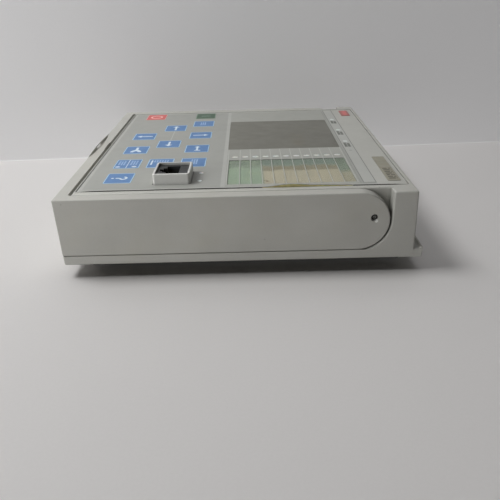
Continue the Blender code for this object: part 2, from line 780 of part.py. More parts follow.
def components(shape, parts):
    """A box for each component, sunk 0.5 mm into the board."""
    for *rect, top in parts:
        box(shape, rect, LOW_BOARD_TOP - 0.5, top)


def build_low_board(name, rect, parts):
    add(build_board(name, corners(rect), LOW_BOARD), components, parts)


def build_keypad_board():
    """The board under the keys, with a dome for each stem, cut out round the socket."""
    outline = corners((21.0, 77.4, 12.0, 172.0))
    keypad = build_board("keypad_board", outline, KEYPAD_TOP - BOARD_T)
    centres = [centre_of(key) for key in KEYS.values()]
    add(keypad, rods, "z", centres, DOME_R, KEYPAD_TOP - 0.5, KEYPAD_TOP + DOME_H, sides=8)
    cut(keypad, box, grown(JACK, 2.2), 20, 34)


def build_backup_cell():
    cell = draw(rod, "z", (34.0, 52.0), 10.0, ON_BOARD, 13.0)
    piece("backup_cell", cell, colour=STEEL, rough=0.3, metal=1.0)


def build_input_shield():
    """A sheet-metal can, open below."""
    can = draw(slab, SHIELD, ON_BOARD, 15.0, corner=1.0)
    shield = piece("input_shield", can, colour=STEEL, rough=0.35, metal=1.0)
    cut(shield, slab, grown(SHIELD, -0.5), 5, 14.5)


def s_curve(x0, z0, x1, z1, steps=14):
    """Up from one connector, over, and up into the other."""
    out = []
    for i in range(steps + 1):
        part = i / steps
        eased = part * part * (3 - 2 * part)
        out.append((x0 + (x1 - x0) * eased, z0 + (z1 - z0) * part))
    return out


def build_ribbon(name, path, y0, y1, thick=0.5):
    """A flat cable: a strip of constant thickness along path in x, z."""
    left, right = [], []
    for i, (x, z) in enumerate(path):
        before = path[max(i - 1, 0)]
        after = path[min(i + 1, len(path) - 1)]
        run, rise = after[0] - before[0], after[1] - before[1]
        size = math.hypot(run, rise)
        normal_x, normal_z = -rise / size * thick / 2, run / size * thick / 2
        left.append((x + normal_x, z + normal_z))
        right.append((x - normal_x, z - normal_z))
    strip = draw(prism, left + right[::-1], "y", y0, y1)
    piece(name, strip, colour=(0.30, 0.31, 0.33), rough=0.6)


def build_rear_sockets():
    block = draw(socket_block, *SOCKET_X, LEAD_FACE)
    lead = piece("lead_socket", block, colour=(0.09, 0.09, 0.10), rough=0.5)
    cut(lead, prism, rounded(grown(LEAD_FACE, -2.0), 2.2, 4), "x", 164.0, 180.0)

    block = draw(socket_block, *SOCKET_X, POWER_FACE)
    power = piece("power_socket", block, colour=(0.03, 0.03, 0.03), rough=0.5)
    centre = centre_of(POWER_FACE)
    cut(power, rod, "x", centre, 3.1, 163.0, 180.0, sides=20)
    add(power, rod, "x", centre, 1.0, 161.0, 171.5, sides=12)      # contact pin


# ---------------------------------------------------------------- assembly
for old in list(bpy.data.objects):
    bpy.data.objects.remove(old, do_unlink=True)

build_housing()
build_cover()
for number, place_xy in enumerate(SCREW_XY, 1):
    build_screw(f"case_screw_{number}", place_xy)
for number, place_xy in enumerate(FOOT_XY, 1):
    piece(f"foot_{number}", draw(foot, place_xy), colour=(0.03, 0.03, 0.03), rough=0.85)

build_overlay()
for key_name, key_rect in KEYS.items():
    build_key(key_name, key_rect)
build_display()
build_lamp_label()
for guide_name, layout in LIGHT_GUIDES.items():
    build_light_guide(guide_name, *layout)
build_service_socket()
build_plates()

build_handle()
for side_index, side_name in enumerate(("near", "far")):
    build_hinge(side_index, side_name)

build_keypad_board()
build_board("indicator_board", INDICATOR_OUTLINE, INDICATOR_BOARD)
build_low_board("main_board", (14.0, 104.0, 22.0, 159.0), MAIN_PARTS)
build_backup_cell()
build_low_board("input_board", (108.0, 165.0, 22.0, 88.0), INPUT_PARTS)
build_input_shield()
build_low_board("power_board", (108.0, 165.0, 92.0, 159.0), POWER_PARTS)
build_ribbon("keypad_ribbon", s_curve(73.0, 13.2, 62.0, 26.4), 120.0, 140.0)
build_ribbon("display_ribbon", s_curve(97.0, 13.2, 108.0, 26.8), 98.0, 118.0)
build_rear_sockets()
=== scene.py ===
"""Looks for a flat desk-top ward instrument with a U-handle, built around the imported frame.

Positions are in drawing millimetres: x from the handle's crossbar towards the rear lip, y from the
near arm's outer face to the far arm's, z up from the underside of the flange. at() turns them into
the frame's metres. The user sits at low x; the camera looks from low y.
"""

import json
import math
from functools import cached_property
from typing import NamedTuple

import bmesh
import bpy
from mathutils import Matrix, Vector, noise


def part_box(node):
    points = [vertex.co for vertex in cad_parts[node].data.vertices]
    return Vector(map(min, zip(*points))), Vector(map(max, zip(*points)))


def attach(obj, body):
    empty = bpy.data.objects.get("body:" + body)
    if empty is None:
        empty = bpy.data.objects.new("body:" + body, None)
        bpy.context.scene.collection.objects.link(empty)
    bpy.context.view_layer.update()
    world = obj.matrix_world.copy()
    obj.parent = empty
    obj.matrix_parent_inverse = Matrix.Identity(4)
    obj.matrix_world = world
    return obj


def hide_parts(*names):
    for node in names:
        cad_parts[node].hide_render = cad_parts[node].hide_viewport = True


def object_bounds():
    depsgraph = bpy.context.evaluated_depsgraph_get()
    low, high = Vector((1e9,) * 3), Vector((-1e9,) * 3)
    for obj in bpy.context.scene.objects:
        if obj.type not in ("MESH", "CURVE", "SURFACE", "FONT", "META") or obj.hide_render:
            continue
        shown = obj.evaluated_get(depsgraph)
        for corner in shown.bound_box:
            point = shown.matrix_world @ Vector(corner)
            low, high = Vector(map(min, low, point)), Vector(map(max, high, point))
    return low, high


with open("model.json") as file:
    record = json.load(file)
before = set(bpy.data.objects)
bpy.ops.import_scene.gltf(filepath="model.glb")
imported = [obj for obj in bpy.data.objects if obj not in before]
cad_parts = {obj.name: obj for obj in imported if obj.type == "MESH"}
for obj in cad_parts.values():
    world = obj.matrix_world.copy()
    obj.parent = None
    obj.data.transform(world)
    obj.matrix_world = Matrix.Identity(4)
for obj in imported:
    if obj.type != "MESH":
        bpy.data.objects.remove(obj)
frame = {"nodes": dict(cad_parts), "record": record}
nodes = frame["nodes"]
slot_of = {row["node"]: row["material_slot"] for row in frame["record"]["subparts"]}
cad_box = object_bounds()

MM = 0.001
SHEET_X, SHEET_Y = 8.5, 10.0  # the overlay sheet's start, from the crossbar line and the near arm
sheet_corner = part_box("overlay_sheet")[0]
ORIGIN = Vector((
    sheet_corner.x - SHEET_X * MM, sheet_corner.y - SHEET_Y * MM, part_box("main_housing")[0].z,
))


def at(x, y, z):
    return ORIGIN + Vector((x, y, z)) * MM


class Box(NamedTuple):
    """A box in drawing millimetres."""

    x0: float
    x1: float
    y0: float
    y1: float
    z0: float
    z1: float

    @property
    def mid_x(self):
        return (self.x0 + self.x1) / 2

    @property
    def mid_y(self):
        return (self.y0 + self.y1) / 2

    @property
    def mid_z(self):
        return (self.z0 + self.z1) / 2

    def inset(self, by):
        """The box with its four sides moved inwards in the plan view."""
        return Box(self.x0 + by, self.x1 - by, self.y0 + by, self.y1 - by, self.z0, self.z1)


def drawn(node):
    low, high = ((corner - ORIGIN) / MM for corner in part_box(node))
    return Box(low.x, high.x, low.y, high.y, low.z, high.z)


# ---------------------------------------------------------------- places taken from the frame

KEYS = sorted(name for name in nodes if name.startswith("key_"))

sheet = drawn("overlay_sheet")
handle = drawn("handle")
stop_pin = drawn("stop_pin_near")
collar = drawn("socket_collar")
raised = collar.inset(1.6)  # the collar's raised part, without its flange
label = drawn("lamp_label_window")
window = drawn("display_window")
lamps = drawn("indicator_light_guide")
status = drawn("status_light_guide")
ports = drawn("port_light_guide")

LAMP_COUNT = 11
LAMP_PITCH = 5.84
LAMP_X0 = lamps.x0 + 2.45
LAMP_RADII = (1.85, 1.5)
LAMPS = [(LAMP_X0 + LAMP_PITCH * i, lamps.mid_y) for i in range(LAMP_COUNT)]
STATUS_X = status.mid_x
STATUS_RADII = (1.50, 2.20)
STATUS_LAMPS = [(STATUS_X, y) for y in (status.y1 - 4.5, status.mid_y - 0.5, status.y0 + 4.5)]
PORT_RADII = (1.20, 1.20)
PORT_LAMPS = [(ports.mid_x, y) for y in (ports.y1 - 2.6, ports.y0 + 2.5)]

# ---------------------------------------------------------------- node helpers

ALBEDO = 1.34  # one factor on every painted or moulded colour, set against the lights


class Tree:
    """A material's node tree, with short calls for the nodes used here."""

    def __init__(self, name):
        self.material = bpy.data.materials.new(name)
        self.material.use_nodes = True
        self.nodes = self.material.node_tree.nodes
        self.nodes.clear()
        self.output = self.nodes.new("ShaderNodeOutputMaterial")

    def add(self, kind, *first_inputs, settings=None, **named_inputs):
        node = self.nodes.new(kind)
        for key, value in (settings or {}).items():
            setattr(node, key, value)
        for index, value in enumerate(first_inputs):
            self.put(node, index, value)
        for key, value in named_inputs.items():
            self.put(node, key.replace("_", " "), value)
        return node

    def put(self, node, key, value):
        """Links or sets an input, found by its index or name."""
        socket = node.inputs[key]
        if isinstance(value, bpy.types.NodeSocket):
            self.material.node_tree.links.new(value, socket)
        elif isinstance(value, tuple) and socket.type == "RGBA" and len(value) == 3:
            socket.default_value = (*value, 1.0)
        else:
            socket.default_value = value

    def math(self, operation, first, second=0.5):
        return self.add("ShaderNodeMath", first, second, settings={"operation": operation}).outputs[0]

    def times(self, value, *factors):
        for factor in factors:
            value = self.math("MULTIPLY", value, factor)
        return value

    def vector(self, operation, first, second):
        node = self.add("ShaderNodeVectorMath", first, settings={"operation": operation})
        self.put(node, "Scale" if operation == "SCALE" else 1, second)
        return node.outputs["Value" if operation == "DOT_PRODUCT" else 0]

    def scale(self, colour, factor):
        return self.vector("SCALE", colour, factor)

    def split(self, vector):
        return self.add("ShaderNodeSeparateXYZ", vector).outputs[:3]

    @cached_property
    def position(self):
        """Vector, x, y and z sockets in drawing millimetres, which stay with a moving piece."""
        coords = self.add("ShaderNodeTexCoord").outputs["Object"]
        place = self.scale(self.vector("SUBTRACT", coords, ORIGIN), 1 / MM)
        return (place, *self.split(place))

    def noise(self, size, detail=2.0, stretch=None, rough=0.55):
        """Noise from 0 to 1 whose features are about size millimetres."""
        place = self.position[0]
        if stretch:
            place = self.vector("MULTIPLY", place, stretch)
        return self.add(
            "ShaderNodeTexNoise", Vector=place, Scale=1.0 / size, Detail=detail, Roughness=rough,
        ).outputs["Fac"]

    def ramp(self, value, band, to=(0.0, 1.0)):
        """Maps the band of values linearly to another, clamped at both ends."""
        return self.add("ShaderNodeMapRange", value, *band, *to).outputs[0]

    def patches(self, size, to=(0.0, 1.0), detail=3, band=(0.3, 0.7), **look):
        """Noise whose band is mapped to the given values."""
        return self.ramp(self.noise(size, detail, **look), band, to)

    def mix(self, factor, first, second):
        node = self.add("ShaderNodeMix", factor, settings={"data_type": "RGBA"})
        self.put(node, 6, first)
        self.put(node, 7, second)
        return node.outputs[2]

    def rect(self, plan, soft=0.0):
        """1 inside a plan rectangle (x0, x1, y0, y1) and 0 outside; soft is half the fade."""
        x0, x1, y0, y1 = plan[:4]
        _, x, y, _ = self.position
        sides = []
        for value, low, high in ((x, x0, x1), (y, y0, y1)):
            if soft:
                sides.append(self.ramp(value, band=(low - soft, low + soft)))
                sides.append(self.ramp(value, band=(high + soft, high - soft)))
            else:
                sides.append(self.math("GREATER_THAN", value, low))
                sides.append(self.math("LESS_THAN", value, high))
        return self.times(*sides)

    def off_axis(self, axis_x, axis_z):
        """Squared distance from an axis along y."""
        _, x, _, z = self.position
        off_x = self.math("SUBTRACT", x, axis_x)
        off_z = self.math("SUBTRACT", z, axis_z)
        return self.math("ADD", self.times(off_x, off_x), self.times(off_z, off_z))

    def bump(self, height, depth, strength=1.0, normal=None):
        """Bump from a height socket, depth in millimetres."""
        node = self.add("ShaderNodeBump", Height=height, Distance=depth * MM, Strength=strength)
        if normal is not None:
            self.put(node, "Normal", normal)
        return node.outputs[0]

    def grain(self, size, depth, normal=None):
        return self.bump(self.noise(size), depth, normal=normal)

    def soft_edges(self, radius):
        return self.add("ShaderNodeBevel", settings={"samples": 6}, Radius=radius * MM).outputs[0]

    def crevices(self, reach, loss):
        """A colour factor from occlusion that falls in narrow gaps: painted shade there, standing
        also for dirt.
        """
        node = self.add(
            "ShaderNodeAmbientOcclusion", settings={"samples": 6, "only_local": False},
            Distance=reach * MM,
        )
        return self.ramp(node.outputs["AO"], band=(0.0, 1.0), to=(1.0 - loss, 1.0))

    def surface(self, shader):
        self.put(self.output, "Surface", shader)
        return self.material

    def finish(self, colour, rough, normal, metal=0.0, **more):
        shader = self.add(
            "ShaderNodeBsdfPrincipled", Base_Color=colour if metal else self.scale(colour, ALBEDO),
            Roughness=rough, Metallic=metal, Normal=normal, **more,
        )
        return self.surface(shader.outputs[0])


def linear(*srgb):
    """sRGB 0-255 to the linear values that Blender uses."""
    return tuple(
        (v / 255 / 12.92) if v / 255 <= 0.04045 else ((v / 255 + 0.055) / 1.055) ** 2.4 for v in srgb
    )


def dyed(colour, *factors):
    return tuple(channel * factor for channel, factor in zip(colour, factors))


# ---------------------------------------------------------------- moulded plastics


def painted_recess_shade(tree, base, colour):
    """Painted shade on the walls by the handle's recesses that face -x, towards the light."""
    _, x, _, _ = tree.position
    normal = tree.add("ShaderNodeNewGeometry").outputs["True Normal"]
    start, end = handle.x1 - 6.0, handle.x1 + 3.5
    there = tree.times(
        tree.ramp(x, band=(start, start + 1.0)),
        tree.ramp(x, band=(end, end - 0.5)),
        tree.ramp(tree.split(normal)[0], band=(-0.45, -0.9), to=(0.0, 0.5)),
    )
    return tree.mix(there, base, dyed(colour, 0.25, 0.26, 0.25))


def painted_rim_highlight(tree, base, _colour):
    """A painted highlight on the lower rim of the stop pin's hole."""
    gap = tree.off_axis(stop_pin.mid_x + 0.95, stop_pin.mid_z - 1.75)
    return tree.mix(tree.ramp(gap, band=(0.9, 0.25), to=(0.0, 0.8)), base, (0.80, 0.80, 0.77))


def moulded(
    name, colour, rough, edge, grain=0.012, gap_dirt_and_shade=0.35, stain=0.05, specks=True, mark=None,
):
    """Moulded plastic: fine texture, slow tone changes, dirt and painted shade in the gaps, and
    lighter, worn edges.

    edge is the rounding radius and grain the texture's depth; the tone's loss in the gaps is painted
    shade from occlusion together with dirt, stain is the tone's swing, and mark a function that adds
    a local mark to the colour.
    """
    tree = Tree(name)
    shade = tree.times(
        tree.patches(size=38, to=(1.0 - stain, 1.0 + stain)),
        tree.patches(size=0.9, band=(0.2, 0.8), to=(0.975, 1.02)),
        # painted shade: occlusion darkens the colour in narrow gaps, standing also for dirt there
        tree.crevices(reach=1.6, loss=gap_dirt_and_shade),
    )
    base = tree.scale(colour, shade)
    warm = tree.patches(size=22, detail=2, band=(0.45, 0.75), to=(0.0, 0.35))
    base = tree.mix(warm, base, tree.scale(dyed(colour, 0.97, 0.955, 0.88), shade))
    if specks:
        spots = tree.patches(size=2.6, detail=1.5, rough=0.3, band=(0.80, 0.835))
        base = tree.mix(tree.times(spots, 0.35), base, dyed(colour, 0.45, 0.44, 0.4))
        rubbed = tree.patches(
            size=5.0, detail=4, stretch=(0.35, 1.0, 1.6), rough=0.7, band=(0.62, 0.74),
        )
        base = tree.mix(tree.times(rubbed, 0.10), base, dyed(colour, 0.72, 0.7, 0.66))
    if mark:
        base = mark(tree, base, colour)
    # worn edges: where the rounded normal leaves the face's own normal
    soft = tree.soft_edges(radius=edge)
    normal = tree.add("ShaderNodeNewGeometry").outputs["Normal"]
    turned = tree.vector("DOT_PRODUCT", soft, normal)
    worn = tree.times(
        tree.ramp(turned, band=(0.985, 0.86), to=(0.0, 0.32)),
        tree.patches(size=3.0, band=(0.35, 0.6)),
    )
    base = tree.mix(worn, base, tuple(min(1.0, channel * 1.22) for channel in colour))
    return tree.finish(
        base,
        rough=tree.patches(size=3.5, band=(0.25, 0.75), to=(rough - 0.06, rough + 0.07)),
        normal=tree.grain(size=0.35, depth=grain, normal=soft), Specular_IOR_Level=0.42,
    )


# ---------------------------------------------------------------- film, keys and ink


def film_material():
    """Printed overlay film: tinted fields with lighter borders, satin, lightly soiled, darker near
    the collar, with painted shade in its gaps.
    """
    tree = Tree("overlay_film")
    near, far = sheet.y0 + 2.4, sheet.y1 - 2.2
    fields = (  # x0, x1, y0, y1, sRGB colour; each is laid over the ones before
        (sheet.x0 + 1.9, sheet.x1, near, far, (150, 151, 146)),  # keypad
        (window.x0 - 0.1, window.x1 + 0.9, near, far, (154, 155, 149)),  # display
        (window.x0 - 2.3, window.x0 - 0.1, sheet.y0 + 2.0, sheet.y1, (165, 166, 161)),  # divider
        (STATUS_X + 3.2, sheet.x1, sheet.y0, sheet.y1, (171, 171, 165)),  # panel at high x
        # strip with the status lamps
        (STATUS_X - 2.9, STATUS_X + 2.8, sheet.y0 + 4.2, sheet.y1 - 1.5, (167, 168, 163)),
    )
    colour = linear(162, 163, 158)  # border
    for *plan, tint in fields:
        colour = tree.mix(tree.rect(plan), colour, linear(*tint))
    # darker close to the raised collar, and painted shade from occlusion in the gaps
    by_collar = tree.rect(
        (collar.x0 - 1.5, collar.x1 + 1.5, collar.y0 - 1.0, collar.y1 + 1.5), soft=2.5,
    )
    shade = tree.times(
        tree.patches(size=30, to=(0.965, 1.035)),
        tree.patches(size=1.2, band=(0.2, 0.8), to=(0.985, 1.012)),
        tree.math("SUBTRACT", 1.0, tree.times(by_collar, 0.06)),
        tree.crevices(reach=1.0, loss=0.35),
    )
    return tree.finish(
        tree.scale(colour, shade), rough=tree.patches(size=6, detail=4, to=(0.42, 0.52)),
        normal=tree.grain(size=0.5, depth=0.004, normal=tree.soft_edges(radius=0.12)),
        Specular_IOR_Level=0.45,
    )


def printed(name, *srgb):
    """Ink: a tone that varies a little where it was laid thinner."""
    tree = Tree(name)
    shade = tree.times(
        tree.patches(size=4, to=(0.94, 1.05)),
        tree.patches(size=0.6, detail=2, band=(0.2, 0.8), to=(0.97, 1.02)),
    )
    return tree.finish(
        tree.scale(linear(*srgb), shade), rough=tree.patches(size=2, detail=2, to=(0.45, 0.55)),
        normal=tree.grain(size=0.4, depth=0.002),
    )


def key_material(name, face, pale):
    """A key's printed face with a pale frame round it, on satin film."""
    tree = Tree("face_" + name)
    key = drawn(name)
    inside = tree.rect(key.inset(0.5), soft=0.05)
    shade = tree.times(
        tree.patches(size=7, to=(0.95, 1.05)),
        tree.patches(size=0.7, band=(0.2, 0.8), to=(0.975, 1.02)),
    )
    # the middle, where fingers press, has lost a little of its depth
    rub = tree.rect(key.inset(4.5), soft=3.5)
    worn = tuple(deep * 0.86 + 0.14 * light for deep, light in zip(face, pale))
    colour = tree.mix(tree.times(rub, 0.5), face, worn)
    colour = tree.mix(inside, pale, colour)
    return tree.finish(
        tree.scale(colour, shade), rough=tree.patches(size=5, to=(0.4, 0.5)),
        normal=tree.grain(size=0.5, depth=0.003, normal=tree.soft_edges(radius=0.1)),
        Specular_IOR_Level=0.45,
    )


# ---------------------------------------------------------------- windows, card and lamps


def pane_material():
    """Clear window over the lamp labels: a soft reflection, smears and fine scratches."""
    tree = Tree("label_pane")
    scratches = tree.patches(
        size=0.4, detail=2, stretch=(0.08, 1.0, 1.0), band=(0.62, 0.72), to=(0.0, 0.08),
    )
    rough = tree.math("ADD", tree.patches(size=9, to=(0.26, 0.36)), scratches)
    shade = tree.patches(size=16, to=(0.93, 1.07))
    smear = tree.patches(
        size=11, detail=4, stretch=(1.0, 0.6, 1.0), band=(0.5, 0.8), to=(0.05, 0.15),
    )
    # light passes through to the card behind it
    lit = tree.math("SUBTRACT", 1.0, tree.add("ShaderNodeLightPath").outputs["Is Shadow Ray"])
    return tree.finish(
        tree.scale(linear(170, 175, 168), shade), rough, normal=tree.grain(size=1.5, depth=0.0015),
        Alpha=tree.times(smear, lit), Specular_IOR_Level=0.5,
    )


def display_material():
    """Dull display pane with painted light, lighter towards low x and towards the far side, and one
    brownish blot.
    """
    tree = Tree("display_pane")
    _, x, y, _ = tree.position
    # painted light: lighter towards low x, where the light comes from, and towards the far side
    shade = tree.times(
        tree.ramp(x, band=(window.x0, window.x1), to=(1.05, 0.93)),
        tree.ramp(y, band=(window.y0, window.y1), to=(0.98, 1.03)),
        tree.patches(size=18, to=(0.96, 1.04)),
    )
    blot = tree.times(
        tree.rect((window.x0 + 41, window.x0 + 45, window.y0 + 4, window.y0 + 32), soft=4.0),
        tree.patches(size=7, band=(0.35, 0.65), to=(0.1, 0.6)),
    )
    base = tree.mix(blot, tree.scale(linear(106, 105, 97), shade), linear(106, 98, 78))
    return tree.finish(
        base, rough=tree.patches(size=8, detail=4, to=(0.34, 0.44)),
        normal=tree.grain(size=0.6, depth=0.003, normal=tree.soft_edges(radius=0.1)),
        Specular_IOR_Level=0.4,
    )


def card_material():
    """Paper strip behind the lamp labels: three green fields, then fields that fade to buff."""
    tree = Tree("label_card")
    _, x, y, _ = tree.position
    card = drawn("lamp_label_card")
    pitch = (card.x1 - card.x0) / LAMP_COUNT
    green_end = card.x0 + 3 * pitch
    wave = tree.patches(size=6, band=(0.2, 0.8), to=(-2.2, 2.2))
    wavy_y = tree.math("ADD", y, wave)

    def fade(start, end, first, second):
        """From one colour to another between two distances from the card's near edge."""
        along = tree.ramp(wavy_y, band=(card.y0 + start, card.y0 + end))
        return tree.mix(along, first, second)

    buff = fade(21.5, 19.5, linear(126, 120, 98), linear(164, 158, 136))
    buff = fade(29.5, 26.5, linear(112, 126, 113), buff)
    # the green fields darken towards the far edge: their print, with painted shadow of the window's
    # far edge over it
    green = fade(24.6, 27.0, linear(133, 150, 129), linear(116, 130, 112))
    green = tree.mix(tree.patches(size=7, band=(0.5, 0.7)), green, linear(137, 151, 126))
    colour = tree.mix(tree.ramp(x, band=(green_end - 0.4, green_end + 1.6)), green, buff)
    # the last field is greener and turns buff lower down
    last = fade(19.5, 14.0, linear(112, 124, 108), linear(150, 146, 125))
    in_last = tree.math("GREATER_THAN", x, card.x0 + (LAMP_COUNT - 1) * pitch)
    colour = tree.mix(in_last, colour, last)
    shade = tree.times(
        # painted shadow under the window's far edge
        tree.ramp(y, band=(card.y1 - 8.8, card.y1 - 6.6), to=(1.0, 0.86)),  # under the far edge
        tree.patches(size=9, detail=4, to=(0.95, 1.05)),
        tree.patches(size=0.5, stretch=(1, 0.4, 1), band=(0.2, 0.8), to=(0.97, 1.03)),
    )
    colour = tree.scale(colour, shade)
    # stain at the near end of the fourth field
    stain = tree.times(
        tree.rect((green_end + 0.6, green_end + 3.4, card.y0 + 1.5, card.y0 + 10), soft=0.8),
        tree.patches(size=2.2, band=(0.5, 0.62)),
    )
    colour = tree.mix(tree.times(stain, 0.8), colour, linear(98, 84, 62))
    return tree.finish(colour, rough=0.7, normal=tree.grain(size=0.25, depth=0.006))


def lamp_material(name, *srgb):
    tree = Tree(name)
    return tree.finish(
        tree.scale(linear(*srgb), tree.patches(size=3, to=(0.95, 1.04))),
        rough=tree.patches(size=2, detail=2, to=(0.25, 0.35)),
        normal=tree.grain(size=0.6, depth=0.003, normal=tree.soft_edges(radius=0.15)),
        Subsurface_Weight=0.2, Subsurface_Scale=0.001,
    )


# ---------------------------------------------------------------- metals and inner parts


def metal_material(name, colour, rough, brushed, size=0.3):
    """Turned or plated metal with slight tarnish; brushed squeezes or draws out its marks."""
    tree = Tree(name)
    marks = tree.noise(size, detail=3, stretch=brushed)
    shade = tree.times(
        tree.ramp(marks, band=(0.2, 0.8), to=(0.9, 1.08)), tree.patches(size=5, to=(0.9, 1.06)),
    )
    return tree.finish(
        tree.scale(colour, shade),
        rough=tree.ramp(marks, band=(0.2, 0.8), to=(rough - 0.06, rough + 0.12)),
        normal=tree.bump(marks, depth=0.004, normal=tree.soft_edges(radius=0.12)), metal=1.0,
    )


def board_material():
    """Solder mask with tracks under it."""
    tree = Tree("board_green")
    brick = tree.add(
        "ShaderNodeTexBrick", Vector=tree.position[0], Scale=0.35, Color1=linear(22, 88, 48),
        Color2=linear(18, 76, 42), Mortar=linear(48, 120, 72), Mortar_Size=0.06,
    )
    cloudy = tree.patches(size=6, band=(0.4, 0.6))
    base = tree.mix(cloudy, brick.outputs["Color"], linear(20, 80, 44))
    return tree.finish(
        tree.scale(base, tree.patches(size=20, detail=2, to=(0.9, 1.1))),
        rough=tree.patches(size=3, detail=2, to=(0.35, 0.5)),
        normal=tree.grain(size=0.8, depth=0.006, normal=tree.soft_edges(radius=0.1)),
    )


CORE_PITCH = 1.27  # of the flat cable's cores


def ribbon_material():
    """Flat cable: parallel cores as soft ridges, with painted shade in the valleys between them."""
    tree = Tree("ribbon_grey")
    _, _, y, _ = tree.position
    wave = tree.math("SINE", tree.times(y, 2 * math.pi / CORE_PITCH))
    # painted shade: darker in the valleys between the cores
    shade = tree.times(
        tree.ramp(wave, band=(-1, 1), to=(0.82, 1.06)), tree.patches(size=8, to=(0.95, 1.05)),
    )
    return tree.finish(
        tree.scale((0.32, 0.33, 0.35), shade), rough=0.45,
        normal=tree.bump(wave, depth=0.1, strength=0.6),
    )


def foam_material():
    tree = Tree("foam_black")
    cells = tree.add("ShaderNodeTexVoronoi", Vector=tree.position[0], Scale=2.2)
    return tree.finish(
        tree.scale((0.03, 0.03, 0.032), tree.patches(size=2, to=(0.7, 1.4))), rough=0.95,
        normal=tree.bump(cells.outputs["Distance"], depth=0.15, strength=0.8),
    )


# ---------------------------------------------------------------- labels, pins and glue


def label_material(name, colour, stain, rough=0.55):
    """Paper or film label in two sRGB colours: fibre, faded patches, and painted shade from occlusion
    where its edge meets other parts.
    """
    tree = Tree(name)
    shade = tree.times(
        tree.patches(size=4, detail=4, to=(0.93, 1.06)),
        tree.patches(size=0.5, stretch=(1, 0.5, 1), band=(0.2, 0.8), to=(0.96, 1.03)),
        tree.crevices(reach=0.8, loss=0.3),
    )
    faded = tree.patches(size=6, band=(0.5, 0.75), to=(0.0, 0.5))
    base = tree.mix(faded, linear(*colour), linear(*stain))
    return tree.finish(
        tree.scale(base, shade), rough,
        normal=tree.grain(size=0.4, depth=0.004, normal=tree.soft_edges(radius=0.08)),
    )


def badge_material():
    """A small printed badge: a plain field with a darker border."""
    tree = Tree("badge_red")
    shade = tree.times(
        tree.patches(size=4, detail=4, to=(0.93, 1.06)), tree.patches(size=1.1, to=(0.93, 1.05)),
    )
    inner = tree.rect(drawn("corner_badge").inset(1.5), soft=0.7)
    base = tree.mix(inner, linear(160, 98, 94), linear(192, 104, 101))
    return tree.finish(
        tree.scale(base, shade), rough=0.4,
        normal=tree.grain(size=0.4, depth=0.004, normal=tree.soft_edges(radius=0.08)),
    )


def stop_pin_material():
    """Dull dark pin with a paler centre on its end; the near-black ring round the centre is painted
    shade for the gap in its hole.
    """
    tree = Tree("dark_pin_gap_shade")
    square = tree.off_axis(stop_pin.mid_x, stop_pin.mid_z)
    end = tree.ramp(square, band=(0.45, 0.85), to=(1.0, 0.0))
    # near-black outside the centre: painted shade for the gap round the pin
    base = tree.mix(end, (0.018, 0.018, 0.017), (0.30, 0.30, 0.28))
    return tree.finish(
        tree.scale(base, tree.patches(size=0.5, to=(0.8, 1.15))), rough=0.5,
        normal=tree.soft_edges(radius=0.15), metal=0.4,
    )


def adhesive_material():
    tree = Tree("old_adhesive")
    shade = tree.patches(size=2.2, detail=4, stretch=(0.5, 1.5, 1.0), to=(0.75, 1.15))
    cloudy = tree.patches(size=5, band=(0.4, 0.65))
    base = tree.mix(cloudy, linear(192, 184, 128), linear(164, 158, 116))
    return tree.finish(
        tree.scale(base, shade), rough=0.45, normal=tree.grain(size=0.8, depth=0.03),
        Subsurface_Weight=0.15, Subsurface_Scale=0.001,
    )


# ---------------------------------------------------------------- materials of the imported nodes

film_mat = film_material()
MATS = {  # by material slot
    # housing: painted shade on the recess walls by the arms' ends
    "housing_plastic": moulded(
        "housing_plastic", (0.400, 0.398, 0.369), rough=0.52, edge=0.35, mark=painted_recess_shade,
    ),
    # handle: a painted highlight on the stop pin's rim
    "handle_plastic": moulded(
        "handle_plastic", (0.402, 0.398, 0.368), rough=0.54, edge=0.35, stain=0.06, mark=painted_rim_highlight,
    ),
    # the rear cover is near-black as painted shade for the deep shade under the flange
    "cover_plastic": moulded("cover_plastic", (0.045, 0.045, 0.044), rough=0.6, edge=0.3),
    "bush_plastic": moulded(
        "bush_acetal", (0.75, 0.73, 0.66), rough=0.45, edge=0.1, specks=False,
    ),
    "foot_rubber": moulded(
        "foot_rubber", (0.028, 0.028, 0.028), rough=0.85, edge=0.3, grain=0.02, gap_dirt_and_shade=0.2,
        specks=False,
    ),
    "socket_black": moulded(
        "socket_black", (0.030, 0.031, 0.032), rough=0.42, edge=0.12, gap_dirt_and_shade=0.6, specks=False,
    ),
    "display_frame": moulded(
        "display_frame", (0.12, 0.12, 0.11), rough=0.5, edge=0.2, specks=False,
    ),
    "overlay_film": film_mat,
    "display_pane": display_material(),
    "label_pane": pane_material(),
    "label_card": card_material(),
    "lamp_plastic": lamp_material("lamp_plastic", 204, 206, 200),
    "board_green": board_material(),
    "shield_steel": metal_material(
        "shield_steel", (0.62, 0.62, 0.61), rough=0.35, brushed=(0.1, 1.0, 1.0),
    ),
    "ribbon_grey": ribbon_material(),
    "foam_black": foam_material(),
    "screw_steel": metal_material(
        "screw_steel", (0.56, 0.56, 0.57), rough=0.3, brushed=(1.0, 1.0, 1.0),
    ),
    "pin_steel": metal_material(
        "pin_steel", (0.13, 0.13, 0.125), rough=0.42, brushed=(1.0, 0.2, 1.0), size=0.2,
    ),
    "badge_red": badge_material(),
    "plate_beige": label_material("plate_beige", (141, 138, 124), (128, 125, 112)),
}
